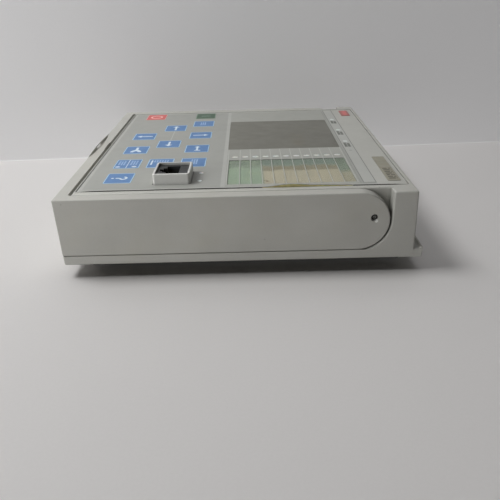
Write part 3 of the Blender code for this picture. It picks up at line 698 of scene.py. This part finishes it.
NODE_MATS = {  # nodes that differ from their slot
    # the collar is the case's grey made lighter: painted light
    "socket_collar": moulded(
        "collar_grey_painted_light", (0.53, 0.53, 0.51), rough=0.48, edge=0.2, gap_dirt_and_shade=0.5,
    ),
    "stop_pin_near": stop_pin_material(),
    "stop_pin_far": stop_pin_material(),
    "status_light_guide": lamp_material("status_plastic", 190, 193, 187),
    # painted light: near white, brighter than a surface can reflect, so the port lamps stay bright in
    # the collar's shadow
    "port_light_guide": lamp_material("port_plastic_painted_light", 248, 249, 244),
}
BLUE_KEY = (linear(84, 121, 168), linear(162, 190, 212))  # face and pale frame
KEY_COLOURS = {
    "key_red": (linear(196, 92, 90), linear(205, 160, 154)),
    "key_green": (linear(72, 94, 78), linear(120, 140, 122)),
}

for name, node in nodes.items():
    if name.startswith("key_"):
        material = key_material(name, *KEY_COLOURS.get(slot_of[name], BLUE_KEY))
    else:
        material = NODE_MATS.get(name) or MATS[slot_of[name]]
    node.data.materials.clear()
    node.data.materials.append(material)

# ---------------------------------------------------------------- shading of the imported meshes

SHARP_ANGLE = 32  # degrees


def smooth_group():
    """Geometry nodes: joins the split corners, then keeps only edges over SHARP_ANGLE sharp."""
    group = bpy.data.node_groups.new("smooth_by_angle", "GeometryNodeTree")
    for direction in ("INPUT", "OUTPUT"):
        group.interface.new_socket("Geometry", in_out=direction, socket_type="NodeSocketGeometry")
    make, join = group.nodes.new, group.links.new
    start, end = make("NodeGroupInput"), make("NodeGroupOutput")
    weld = make("GeometryNodeMergeByDistance")
    weld.inputs["Distance"].default_value = 2e-6
    faces = make("GeometryNodeSetShadeSmooth")
    faces.domain = "FACE"
    edges = make("GeometryNodeSetShadeSmooth")
    edges.domain = "EDGE"
    angle = make("GeometryNodeInputMeshEdgeAngle")
    under = make("FunctionNodeCompare")
    under.data_type = "FLOAT"
    under.operation = "LESS_EQUAL"
    under.inputs[1].default_value = math.radians(SHARP_ANGLE)
    join(start.outputs[0], weld.inputs["Geometry"])
    join(weld.outputs[0], faces.inputs[0])
    join(faces.outputs[0], edges.inputs[0])
    join(angle.outputs["Unsigned Angle"], under.inputs[0])
    join(under.outputs[0], edges.inputs["Shade Smooth"])
    join(edges.outputs[0], end.inputs[0])
    return group


def weight_normals(obj):
    weighted = obj.modifiers.new("face_weighted", "WEIGHTED_NORMAL")
    weighted.keep_sharp = True
    return weighted


def shade_node(obj, group):
    mesh = obj.data
    for attribute in list(mesh.attributes):
        if attribute.name in ("custom_normal", "sharp_edge", "sharp_face"):
            mesh.attributes.remove(attribute)
    for poly in mesh.polygons:
        poly.use_smooth = True
    obj.modifiers.new("smooth_by_angle", "NODES").node_group = group
    weight_normals(obj).weight = 60


smoothing = smooth_group()
for node in nodes.values():
    shade_node(node, smoothing)

# ---------------------------------------------------------------- building helpers


def prism(shape, outline, z0, z1):
    """Closed prism over a plan outline."""
    low, high = ([shape.verts.new(at(x, y, z)) for x, y in outline] for z in (z0, z1))
    shape.faces.new(low)
    shape.faces.new(high)
    for i in range(len(outline)):
        j = (i + 1) % len(outline)
        shape.faces.new((low[i], low[j], high[j], high[i]))


def rounded(plan, radius, steps=4):
    """Outline of a plan rectangle (x0, x1, y0, y1) with round corners."""
    x0, x1, y0, y1 = plan[:4]
    corners = (
        (x1 - radius, y1 - radius, 0), (x0 + radius, y1 - radius, 90),
        (x0 + radius, y0 + radius, 180), (x1 - radius, y0 + radius, 270),
    )
    outline = []
    for x, y, start in corners:
        for i in range(steps + 1):
            angle = math.radians(start + 90 * i / steps)
            outline.append((x + radius * math.cos(angle), y + radius * math.sin(angle)))
    return outline


def oval(x, y, radius_x, radius_y, count):
    angles = [2 * math.pi * i / count for i in range(count)]
    return [(x + radius_x * math.cos(a), y + radius_y * math.sin(a)) for a in angles]


def skin(shape, rings, closed=False):
    """Faces between successive rings of four vertices, with end caps unless they close a loop."""
    following = rings[1:] + rings[:1] if closed else rings[1:]
    for ring, after in zip(rings, following):
        for k in range(4):
            m = (k + 1) % 4
            shape.faces.new((ring[k], after[k], after[m], ring[m]))
    if not closed:
        shape.faces.new(rings[0])
        shape.faces.new(rings[-1][::-1])


def offsets(path, half, closed=False):
    """For each point of a flat path: the point, and a step of length half square to the path."""
    count = len(path)
    for i, (u, v) in enumerate(path):
        before = path[i - 1] if closed else path[max(0, i - 1)]
        after = path[(i + 1) % count] if closed else path[min(count - 1, i + 1)]
        along_u, along_v = after[0] - before[0], after[1] - before[1]
        length = math.hypot(along_u, along_v)
        yield u, v, -along_v / length * half, along_u / length * half


def add_object(name, shape, outward=True):
    if outward:
        bmesh.ops.recalc_face_normals(shape, faces=shape.faces)
    mesh = bpy.data.meshes.new(name)
    shape.to_mesh(mesh)
    shape.free()
    obj = bpy.data.objects.new(name, mesh)
    bpy.context.scene.collection.objects.link(obj)
    return obj


def piece(name, shape, material, slot, body="case", angle=SHARP_ANGLE):
    obj = add_object(name, shape)
    obj.data.shade_smooth()
    obj.data.set_sharp_from_angle(angle=math.radians(angle))
    obj.data.materials.append(material)
    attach(obj, body)
    return obj


def subtract(base, cutters):
    """Base minus the cutters, as a new bmesh."""
    body, tool = add_object("cut_base", base), add_object("cut_tool", cutters)
    cut = body.modifiers.new("cut", "BOOLEAN")
    cut.operation = "DIFFERENCE"
    cut.solver = "EXACT"
    cut.object = tool
    bpy.context.view_layer.update()
    evaluated = body.evaluated_get(bpy.context.evaluated_depsgraph_get())
    result = bmesh.new()
    result.from_mesh(evaluated.to_mesh())
    evaluated.to_mesh_clear()
    for obj in (body, tool):
        mesh = obj.data
        bpy.data.objects.remove(obj)
        bpy.data.meshes.remove(mesh)
    return result


def steps(start, end, step):
    x = start
    while x < end:
        yield x
        x += step


# ---------------------------------------------------------------- overlay film

EDGE_Y = 0.35  # from the sheet's box to the film's near edge
HOLE_GAP = 0.06  # round the lamps
LIFT_X = sheet.x0 + 104.5  # where the film's near edge has come up most
LIFT_HEIGHT, LIFT_DEPTH = 1.75, 5.2
LIFT_LOW_X, LIFT_HIGH_X = 14.0, 18.0  # reach of the lift on either side of LIFT_X
CURL_HEIGHT, CURL_DEPTH, CURL_FADE = 0.55, 3.4, 8  # slight curl of the rest of the near edge
THIN, THIN_DEPTH = 0.34, 0.9  # loss of thickness at the near edge, and how far in it reaches


def lift(x, y):
    """How far the film's near edge has come away from the case at x, y."""
    rise = max(0.0, 1.0 - abs(x - LIFT_X) / (LIFT_LOW_X if x < LIFT_X else LIFT_HIGH_X))
    along = rise * rise * (3 - 2 * rise)
    if x > LIFT_X:
        # a lower tail that starts 14 mm on and runs out over 18 mm
        tail = max(0.0, 1.0 - max(0.0, x - LIFT_X - 14) / 18)
        along = max(along, 0.40 * tail ** 1.2)
    inward = max(0.0, y - sheet.y0)
    across = max(0.0, 1.0 - inward / LIFT_DEPTH)
    curl = CURL_HEIGHT * max(0.0, 1.0 - inward / CURL_DEPTH) ** 1.6
    curl *= min(1.0, (x - sheet.x0) / CURL_FADE, (sheet.x1 - x) / CURL_FADE)
    lifted = LIFT_HEIGHT * along * across * across * (3 - 2 * across) ** 0.5
    return lifted + max(0.0, curl) * (1.0 - along)


def ripple(x):
    """The near edge isn't perfectly straight."""
    return 0.10 * math.sin(x / 9.0) + 0.06 * math.sin(x / 3.7 + 1.0)


def film_cutters():
    shape = bmesh.new()
    outlines = [rounded(drawn(name).inset(-0.09), 0.75) for name in KEYS]
    outlines += [rounded(box.inset(-0.02), 0.5) for box in (window, label)]
    outlines.append(rounded(raised.inset(-0.12), 1.5, 6))
    for centres, (radius_x, radius_y), count in (
        (LAMPS, LAMP_RADII, 28), (STATUS_LAMPS, STATUS_RADII, 28), (PORT_LAMPS, PORT_RADII, 24),
    ):
        for x, y in centres:
            outlines.append(oval(x, y, radius_x + HOLE_GAP, radius_y + HOLE_GAP, count))
    for outline in outlines:
        prism(shape, outline, sheet.z0 - 1, sheet.z1 + 2)
    return shape


def slit_cutter():
    """A slit beside the collar's low-x wall, by its near corner, where the film was cut."""
    shape = bmesh.new()
    slit = [(-0.75, 0.4), (-0.35, 0.2), (0.2, 3.2), (-0.2, 3.4)]  # from the raised part's corner
    outline = [(raised.x0 + x, raised.y0 + y) for x, y in slit]
    prism(shape, outline, sheet.z0 - 1, sheet.z1 + 2)
    return shape


def make_film():
    base = bmesh.new()
    plan = (sheet.x0, sheet.x1 - 0.28, sheet.y0 + EDGE_Y, sheet.y1)
    prism(base, rounded(plan, 1.1, 5), sheet.z0 + 0.02, sheet.z1)
    shape = subtract(subtract(base, film_cutters()), slit_cutter())

    def slice_at(point, normal):
        bmesh.ops.bisect_plane(
            shape, geom=[*shape.verts, *shape.edges, *shape.faces],
            plane_co=point, plane_no=normal, dist=1e-7,
        )

    # close cuts where the edge is lifted, wide ones elsewhere
    dense_start, dense_end = LIFT_X - 15.0, LIFT_X + 33
    for x in steps(dense_start, dense_end, 1.0):
        slice_at(at(x, 0, 0), (1, 0, 0))
    for y in (0.8, 1.25, 1.9, 2.6, 3.4, 4.2, 5.2):
        slice_at(at(0, sheet.y0 + y, 0), (0, 1, 0))
    for x in steps(sheet.x0 + 4, sheet.x1 - 2, 4.0):
        if not dense_start < x < dense_end:
            slice_at(at(x, 0, 0), (1, 0, 0))

    for vert in shape.verts:
        place = (vert.co - ORIGIN) / MM
        if place.y >= sheet.y0 + 5.3:
            continue
        inward = place.y - sheet.y0 - EDGE_Y
        # thin towards the near edge, where only the top layer is left
        is_low = place.z < sheet.z0 + 0.3
        thin = THIN * max(0.0, 1 - inward / THIN_DEPTH) if is_low else 0.0
        vert.co.z += (lift(place.x, place.y) + thin) * MM
        if sheet.x0 + 2 < place.x < sheet.x1 - 2:
            vert.co.y += ripple(place.x) * max(0.0, 1 - inward / 1.2) * MM
    return shape


film = piece("overlay_film_sheet", make_film(), film_mat, "overlay_film", angle=40)
weight_normals(film)
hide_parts("overlay_sheet")


def make_adhesive():
    """Old glue stretched between the lifted edge and the pocket's floor."""
    shape = bmesh.new()
    xs = [LIFT_X - 13.5 + i * 0.5 for i in range(89)]
    # distance from the sheet's near side, and drop of the glue's top below the film
    lines = ((0.12, 0.22), (0.45, 0.04), (1.2, 0.0), (2.2, 0.0), (3.8, 0.0))
    top, low = [], []
    for x in xs:
        fade = min(1.0, (x - xs[0]) / 3.0, (xs[-1] - x) / 4.0)
        top_row, low_row = [], []
        for j, (inward, drop) in enumerate(lines):
            y = sheet.y0 + inward
            rough = 0.09 * noise.noise(Vector((x * 0.7, y * 0.9, 3.0)))
            waver = 0.12 * noise.noise(Vector((x * 1.3, 0.0, 9.0))) if j == 0 else 0
            thin = THIN * max(0.0, 1 - abs(y - sheet.y0 - EDGE_Y) / THIN_DEPTH)
            under = sheet.z0 - 0.02 + lift(x, y) + thin - drop
            thick = 0.10 + (0.85 * (under - sheet.z0) + rough) * fade
            foot = max(sheet.z0 - 0.09, under - max(0.05, thick))
            top_row.append(shape.verts.new(at(x, y + waver, under)))
            low_row.append(shape.verts.new(at(x, y + waver, foot)))
        top.append(top_row)
        low.append(low_row)
    last = len(lines) - 1
    for i in range(len(xs) - 1):
        for j in range(last):
            shape.faces.new((top[i][j], top[i + 1][j], top[i + 1][j + 1], top[i][j + 1]))
            shape.faces.new((low[i][j], low[i][j + 1], low[i + 1][j + 1], low[i + 1][j]))
        for j in (0, last):
            shape.faces.new((top[i][j], low[i][j], low[i + 1][j], top[i + 1][j]))
    for i in (0, len(xs) - 1):
        for j in range(last):
            shape.faces.new((top[i][j], top[i][j + 1], low[i][j + 1], low[i][j]))
    return shape


def make_painted_seam_shade():
    """A thin dark strip set back under the film along the rest of the near edge: painted shade for
    the shadowed gap there.
    """
    shape = bmesh.new()
    foot = sheet.z0 - 0.08
    for start, end in ((sheet.x0 + 2.0, LIFT_X - 13.8), (LIFT_X + 31.0, sheet.x1 - 2.5)):
        rings = []
        count = max(4, int((end - start) / 1.5))
        for i in range(count + 1):
            x = start + (end - start) * i / count
            y = sheet.y0 + EDGE_Y + 0.22 + 0.08 * noise.noise(Vector((x * 0.5, 4.0, 1.0)))
            high = sheet.z0 + THIN + 0.85 * lift(x, y)
            section = ((y, foot), (y + 0.9, foot), (y + 0.9, high - 0.12), (y, high))
            rings.append([shape.verts.new(at(x, v, w)) for v, w in section])
        skin(shape, rings)
    return shape


def film_windows(centres, radii):
    """Clear spots in the film over the lamps: thin lenses almost flush with its face."""
    shape = bmesh.new()
    for x, y in centres:
        prism(shape, oval(x, y, *radii, 28), sheet.z1 - 0.10, sheet.z1 - 0.015)
    return shape


piece("film_adhesive", make_adhesive(), adhesive_material(), "overlay_film", angle=60)
for kind, centres, radii, colour in (
    ("status", STATUS_LAMPS, STATUS_RADII, (198, 201, 195)),
    # painted light: the port lenses are near white, brighter than a surface can reflect, so they stay
    # bright in the collar's shadow
    ("port", PORT_LAMPS, PORT_RADII, (232, 233, 228)),
):
    clear_mat = lamp_material(kind + "_window", *colour)
    piece(kind + "_windows", film_windows(centres, radii), clear_mat, "lamp_plastic")
# painted shade: a dark strip for the shadowed gap under the film's near edge
seam_shade_mat = label_material("seam_shade_paint", (34, 33, 29), (24, 24, 22), rough=0.7)
piece("film_seam_painted_shade", make_painted_seam_shade(), seam_shade_mat, "overlay_film", angle=60)

# ---------------------------------------------------------------- print on the film

INK = 0.02  # height of the ink on film and plate
LEGEND = 0.03  # height of the ink on keys


def bar(shape, x0, x1, y0, y1, low=sheet.z1, thick=INK):
    prism(shape, [(x0, y0), (x1, y0), (x1, y1), (x0, y1)], low + 0.003, low + thick)


def line(shape, x, half, y0, y1, **height):
    """A line along y, half its width to each side of x."""
    bar(shape, x - half, x + half, y0, y1, **height)


def print_light():
    """Dividers between and beside the lamps."""
    shape = bmesh.new()
    top = window.y0 - 0.4
    for i in range(1, LAMP_COUNT):
        x = LAMP_X0 + LAMP_PITCH * (i - 0.5)
        line(shape, x, 0.19, label.y1 + 0.25, top)
        line(shape, x, 0.19, label.y0 + 0.1, label.y1 - 0.1, low=label.z1)
    for x in (label.x0 - 0.45, label.x1 + 0.45):
        line(shape, x, 0.2, label.y0 - 0.4, top)
    return shape


def print_faint():
    """Line between the left and right arrow keys."""
    shape = bmesh.new()
    left, right = drawn("key_arrow_left"), drawn("key_arrow_right")
    line(shape, left.mid_x, 0.22, right.y1 + 0.4, left.y0 - 0.4)
    return shape


def print_dark():
    """Frame of the status strip, on three sides."""
    shape = bmesh.new()
    near = sheet.y0 + 4.2
    for x in (STATUS_X - 3.1, STATUS_X + 3.0):
        line(shape, x, 0.17, near, sheet.y1 - 1.2)
    bar(shape, STATUS_X - 2.90, STATUS_X + 2.80, near, near + 0.34)
    return shape


def print_mid():
    """Line beside the display and a short bar on the status strip."""
    shape = bmesh.new()
    line(shape, window.x1 + 0.7, 0.12, sheet.y0 + 3.0, sheet.y1 - 1.2)
    bar(shape, STATUS_X - 0.8, STATUS_X + 0.7, sheet.y0 + 57.6, sheet.y0 + 58.4)
    return shape


def print_dashes():
    """Plain dashes where the real strip has words, in pairs of rows."""
    shape = bmesh.new()
    for centre, count in ((124.7, 6), (96.4, 7), (69.6, 7)):
        for row, x in enumerate((STATUS_X - 1.1, STATUS_X + 0.85)):
            for i in range(count - row):
                y = sheet.y0 + centre + (i - (count - 1) / 2) * 1.25
                line(shape, x, 0.78, y - 0.46, y + 0.46)
    return shape


for name, build, ink, colour in (
    ("print_light", print_light, "ink_light", (176, 178, 172)),
    ("print_faint", print_faint, "ink_faint", (171, 174, 170)),
    ("print_dark", print_dark, "ink_dark", (112, 113, 109)),
    ("print_mid", print_mid, "ink_mid", (133, 135, 131)),
    ("print_dashes", print_dashes, "ink_shade", (84, 87, 80)),
):
    piece(name, build(), printed(ink, *colour), "overlay_film")

# ---------------------------------------------------------------- legends on the keys

ARROWS = {  # direction in x and y, length, width of the head
    "key_arrow_left": (0, 1, 10.2, 4.6),
    "key_arrow_right": (0, -1, 9.4, 4.6),
    "key_arrow_down": (-1, 0, 10.0, 4.2),
    "key_arrow_up": (1, 0, 10.0, 4.2),
}
ARROW_STEM, ARROW_BARB = 1.3, 2.9  # width of the stem, length of the head
SIGNS = {  # outlines as x, y from the key's centre
    "key_back": [
        (-0.6, -3.3), (-0.6, 2.6), (-1.9, 2.6), (0.0, 4.6), (1.9, 2.6), (0.6, 2.6),
        (0.6, -2.9), (2.2, -3.3), (2.2, -4.4), (-1.6, -4.4), (-1.6, -3.6),
    ],
    "key_clear": [
        (0.75, 5.0), (0.75, 0.6), (1.7, -0.6), (2.9, -2.2), (3.4, -3.8), (2.8, -4.5),
        (1.4, -4.4), (0.9, -3.2), (0.0, -2.0), (-0.9, -3.2), (-1.4, -4.4), (-2.8, -4.5),
        (-3.4, -3.8), (-2.9, -2.2), (-1.7, -0.6), (-0.75, 0.6), (-0.75, 5.0),
    ],
}


def ribbon(shape, points, width, z, closed=False):
    """A line of constant width along points, as one closed skin without inner walls."""
    rings = []
    for x, y, off_x, off_y in offsets(points, width / 2, closed):
        rings.append([
            shape.verts.new(at(x + off_x, y + off_y, z)),
            shape.verts.new(at(x - off_x, y - off_y, z)),
            shape.verts.new(at(x - off_x, y - off_y, z + LEGEND)),
            shape.verts.new(at(x + off_x, y + off_y, z + LEGEND)),
        ])
    skin(shape, rings, closed)


def arrow_outline(length, head):
    """An arrow along +u, centred on its length."""
    neck = length / 2 - ARROW_BARB
    return [
        (-length / 2, -ARROW_STEM / 2), (neck, -ARROW_STEM / 2), (neck, -head / 2),
        (length / 2, 0), (neck, head / 2), (neck, ARROW_STEM / 2), (-length / 2, ARROW_STEM / 2),
    ]


def question_mark(shape, mid_x, mid_y, z):
    hook = []  # right and up as the user sees them: -y and +x
    for i in range(15):
        angle = math.radians(175 + (-60 - 175) * i / 14)
        hook.append((1.75 * math.cos(angle), 2.1 + 1.6 * math.sin(angle)))
    hook += [(0.25, 0.15), (0.0, -0.9), (0.0, -1.9)]
    ribbon(shape, [(mid_x + up, mid_y - right) for right, up in hook], 1.15, z)
    prism(shape, oval(mid_x - 3.55, mid_y, 0.75, 0.75, 16), z, z + LEGEND)


def legend(name):
    """The printed sign of a key; its top points to +x and its right to -y."""
    key = drawn(name)
    mid_x, mid_y, z = key.mid_x, key.mid_y, key.z1 + 0.004
    shape = bmesh.new()
    outlines = []
    if name == "key_help":
        question_mark(shape, mid_x, mid_y, z)
    elif name in ARROWS:
        dx, dy, length, head = ARROWS[name]
        outline = arrow_outline(length, head)
        outlines.append([(mid_x + u * dx - v * dy, mid_y + u * dy + v * dx) for u, v in outline])
    elif name in SIGNS:
        outlines.append([(mid_x + u, mid_y + v) for u, v in SIGNS[name]])
    elif name == "key_mode":
        line(shape, mid_x, 0.2, key.y0 + 0.6, key.y1 - 0.6, low=key.z1, thick=LEGEND)
        for side in (-1, 1):
            outlines.append(oval(mid_x + side * 4.5 - 0.3, key.y0 + 2.6, 1.35, 1.0, 20))
    elif name == "key_menu":
        start = key.x0 + 1.6
        bar(shape, start, key.x0 + 2.5, key.y0 + 5.0, key.y1 - 2.6, low=key.z1, thick=LEGEND)
    elif name == "key_off":
        ribbon(shape, oval(mid_x, mid_y, 3.9, 3.5, 32), 1.2, z, closed=True)
    elif name == "key_on":
        plan = (mid_x - 3.4, mid_x + 3.4, mid_y - 0.5, mid_y + 0.5)
        outlines.append(rounded(plan, 0.4, 3))
    for outline in outlines:
        prism(shape, outline, z, z + LEGEND)
    return shape


def text_rows(name):
    """Rows of small words on a key: x of the row, y of its two ends."""
    x0, _, y0, y1, _, _ = drawn(name)
    if name == "key_mode":
        return [
            (x0 + start + 1.45 * i, y0 + 5.6, y1 - margin - 0.5 * (i % 2))
            for start, margin in ((2.1, 2.6), (8.9, 2.2)) for i in range(3)
        ]
    if name == "key_menu":
        return [(x0 + 3.6 + 1.45 * i, y1 - 6.2, y1 - 2.4) for i in range(6)]
    if name == "key_enter":
        return [(x0 + 6.2 + 1.35 * i, y0 + 4.6, y1 - 1.8) for i in range(3)]
    return [(x0 + 5.2 + 1.4 * i, y0 + 3.4, y1 - 3.4) for i in range(3)]  # key_display


def small_print(name):
    """Rows of plain dashes where a key has small words."""
    top = drawn(name).z1
    shape = bmesh.new()
    for x, low, high in text_rows(name):
        count = max(2, round((high - low) / 1.5))
        step = (high - low) / count
        for i in range(count):
            start, end = low + i * step, low + (i + 0.82) * step
            line(shape, x, 0.45, start, end, low=top, thick=LEGEND)
    return shape


pale_ink = printed("legend_pale", 196, 208, 218)
faint_ink = printed("legend_faint", 146, 172, 204)
LEGEND_INKS = {
    "key_off": printed("legend_pale_red", 226, 178, 172),
    "key_on": printed("legend_pale_green", 140, 160, 142),
}
for name in KEYS:
    if name not in ("key_enter", "key_display"):
        ink = LEGEND_INKS.get(name, pale_ink)
        piece("legend_" + name[4:], legend(name), ink, slot_of[name], body=name)
for name in ("key_mode", "key_menu", "key_enter", "key_display"):
    piece("small_print_" + name[4:], small_print(name), faint_ink, slot_of[name], body=name)

# ---------------------------------------------------------------- socket contacts

CONTACT_COUNT, CONTACT_PITCH = 8, 1.02
WIRE_HALF_WIDTH, WIRE_HALF_THICK = 0.24, 0.13
CONTACT_PATH = [  # x from the raised part's low-x side, z
    (12.45, 34.9), (11.9, 35.2), (11.2, 34.6), (9.8, 31.6), (8.6, 28.6), (8.3, 27.6),
]


def contacts():
    """Sprung wires that lean across the plug opening."""
    shape = bmesh.new()
    path = [(raised.x0 + x, z) for x, z in CONTACT_PATH]
    for i in range(CONTACT_COUNT):
        y = raised.mid_y + (i - (CONTACT_COUNT - 1) / 2) * CONTACT_PITCH
        near, far = y - WIRE_HALF_WIDTH, y + WIRE_HALF_WIDTH
        rings = []
        for x, z, off_x, off_z in offsets(path, WIRE_HALF_THICK):
            rings.append([
                shape.verts.new(at(x + off_x, near, z + off_z)),
                shape.verts.new(at(x + off_x, far, z + off_z)),
                shape.verts.new(at(x - off_x, far, z - off_z)),
                shape.verts.new(at(x - off_x, near, z - off_z)),
            ])
        skin(shape, rings)
    return shape


gold = metal_material("contact_gold", (0.83, 0.62, 0.26), rough=0.25, brushed=(1.0, 1.0, 0.3))
piece("socket_contacts", contacts(), gold, "pin_steel")

# ---------------------------------------------------------------- marks on the type plate


def plate_marks():
    """Seven rows of print, each a bar of its own length and the rest of the row after a gap."""
    shape = bmesh.new()
    x0, x1, y0, _, _, top = drawn("type_plate")
    for i, length in enumerate((3.3, 2.5, 1.6, 3.3, 2.9, 3.3, 2.3)):
        y = y0 + 2.6 + i * 2.5
        bar(shape, x0 + 1.3, x0 + 1.3 + length, y, y + 1.35, low=top)
        if x0 + 1.9 + length < x1 - 1.2:
            bar(shape, x0 + 1.9 + length, x1 - 1.0, y + 0.15, y + 1.2, low=top)
    return shape


piece("type_plate_marks", plate_marks(), printed("plate_ink", 84, 81, 70), "plate_beige")

# ---------------------------------------------------------------- floor and backdrop, in metres

BACK_LEFT, BACK_RIGHT = Vector((-3.105, -0.0369, 0)), Vector((3.105, 0.2736, 0))  # the back line
FILLET = 0.0006  # radius where the floor turns up into the wall


def one_sided(name, colour, glow):
    """Pale paper, clear to the camera from its back so that views from there stay open."""
    tree = Tree(name)
    place = tree.add("ShaderNodeTexCoord").outputs["Object"]
    slow, fine = (
        tree.add("ShaderNodeTexNoise", Vector=place, Scale=scale, Detail=detail).outputs["Fac"]
        for scale, detail in ((3.0, 3.0), (900.0, 2.0))
    )
    shade = tree.times(
        tree.ramp(slow, band=(0.3, 0.7), to=(0.985, 1.015)),
        tree.ramp(fine, band=(0.3, 0.7), to=(0.992, 1.008)),
    )
    paper = tree.add(
        "ShaderNodeBsdfPrincipled", Base_Color=tree.scale(colour, shade), Roughness=0.6,
        Normal=tree.bump(fine, depth=0.03, strength=0.5),
        Emission_Color=colour, Emission_Strength=glow,
    )
    clear = tree.add("ShaderNodeBsdfTransparent")
    behind = tree.times(
        tree.add("ShaderNodeNewGeometry").outputs["Backfacing"],
        tree.add("ShaderNodeLightPath").outputs["Is Camera Ray"],
    )
    mixed = tree.add("ShaderNodeMixShader", behind, paper.outputs[0], clear.outputs[0])
    return tree.surface(mixed.outputs[0])


def backdrop(name, profile, shadows, paper):
    """A strip of paper along the back line: profile holds (distance behind it, height)."""
    direction = (BACK_RIGHT - BACK_LEFT).normalized()
    back = Vector((-direction.y, direction.x, 0))
    shape = bmesh.new()
    left, right = (
        [shape.verts.new(start + back * u + Vector((0, 0, cad_box[0].z + v))) for u, v in profile]
        for start in (BACK_LEFT, BACK_RIGHT)
    )
    for i in range(len(profile) - 1):
        shape.faces.new((left[i], right[i], right[i + 1], left[i + 1]))
    obj = add_object(name, shape, outward=False)
    obj.data.shade_smooth()
    obj.data.materials.append(paper)
    obj.visible_shadow = shadows
    return obj


fillet = [
    (-FILLET + FILLET * math.sin(angle), FILLET - FILLET * math.cos(angle))
    for angle in (math.radians(15 * i) for i in range(7))
]
floor = backdrop(
    "floor", [(-3.0, 0.0), (-1.0, 0.0), fillet[0]], shadows=True,
    paper=one_sided("paper", (0.80, 0.783, 0.772), glow=0.0),
)
wall = backdrop(
    "wall", fillet + [(0.0, 0.05), (0.0, 0.6)], shadows=False,
    paper=one_sided("far_paper", (0.80, 0.795, 0.80), glow=0.19),
)

# ---------------------------------------------------------------- lights, in metres and watts


def area(name, place, size, power, target=(0.0, 0.0, 0.0)):
    data = bpy.data.lights.new(name, "AREA")
    data.shape = "DISK"
    data.size = size
    data.energy = power
    obj = bpy.data.objects.new(name, data)
    obj.location = place
    obj.rotation_mode = "QUATERNION"
    obj.rotation_quaternion = (Vector(target) - Vector(place)).to_track_quat("-Z", "Y")
    bpy.context.scene.collection.objects.link(obj)
    return obj


def gather(name, objects):
    group = bpy.data.collections.new(name)
    for obj in objects:
        group.objects.link(obj)
    return group


window_light = area("window_light", (-0.46, -0.08, 0.52), size=0.30, power=2.34)
room_light = area("room_light", (-0.42, -0.03, 0.72), size=0.28, power=2.82)
front_light = area("front_light", (-0.44, -0.36, 0.19), size=0.28, power=1.12)
floor_light = area("floor_light", (0.28, 0.02, 1.1), size=0.5, power=0.75, target=(0.1, 0.0, 0.0))
area("ceiling_light", (-0.1, 0.15, 1.3), size=1.2, power=1.75)
# a soft light from below, for views of the underside
under_light = area("underside_light", (0.0, -0.05, -0.6), size=0.6, power=1.4)
under_light.visible_camera = False

product = [
    obj for obj in bpy.context.scene.objects
    if obj.type == "MESH" and obj.name not in ("floor", "wall")
]
underside = [obj for obj in product if obj.name.startswith(("rear_cover", "foot", "case_screw"))]
near_side = gather("near_side", product)
for light, receivers in (
    (front_light, near_side),
    (window_light, gather("object_and_wall", [*product, wall])),
    (under_light, gather("underside_only", underside)),
    (floor_light, gather("room_only", [floor, wall])),
    (room_light, gather("table_only", [floor])),
):
    light.light_linking.receiver_collection = receivers
under_light.light_linking.blocker_collection = near_side

world = bpy.data.worlds.new("room")
bpy.context.scene.world = world
world.use_nodes = True
background = world.node_tree.nodes["Background"]
background.inputs["Color"].default_value = (1.0, 0.99, 0.975, 1.0)
background.inputs["Strength"].default_value = 0.01

# ---------------------------------------------------------------- camera

EYE = at(93.38, -230.64, 126.53)
YAW, PITCH, ROLL = -0.00314, 0.48055, -0.02572  # radians: from +y, downwards, about the view


def camera_matrix():
    ahead = Vector((math.sin(YAW), math.cos(YAW), 0))
    side = Vector((math.cos(YAW), -math.sin(YAW), 0))
    up = Vector((0, 0, 1))
    view = ahead * math.cos(PITCH) - up * math.sin(PITCH)
    over = up * math.cos(PITCH) + ahead * math.sin(PITCH)
    right = side * math.cos(ROLL) + over * math.sin(ROLL)
    top = over * math.cos(ROLL) - side * math.sin(ROLL)
    return Matrix([*zip(right, top, -view, EYE), (0, 0, 0, 1)])


data = bpy.data.cameras.new("camera")
data.sensor_width = 36
data.lens = 37.8
data.clip_start = 0.01
camera = bpy.data.objects.new("camera", data)
camera.matrix_world = camera_matrix()
bpy.context.scene.collection.objects.link(camera)
bpy.context.scene.camera = camera
bpy.context.scene.view_settings.view_transform = "Standard"
bpy.context.scene.view_settings.look = "None"
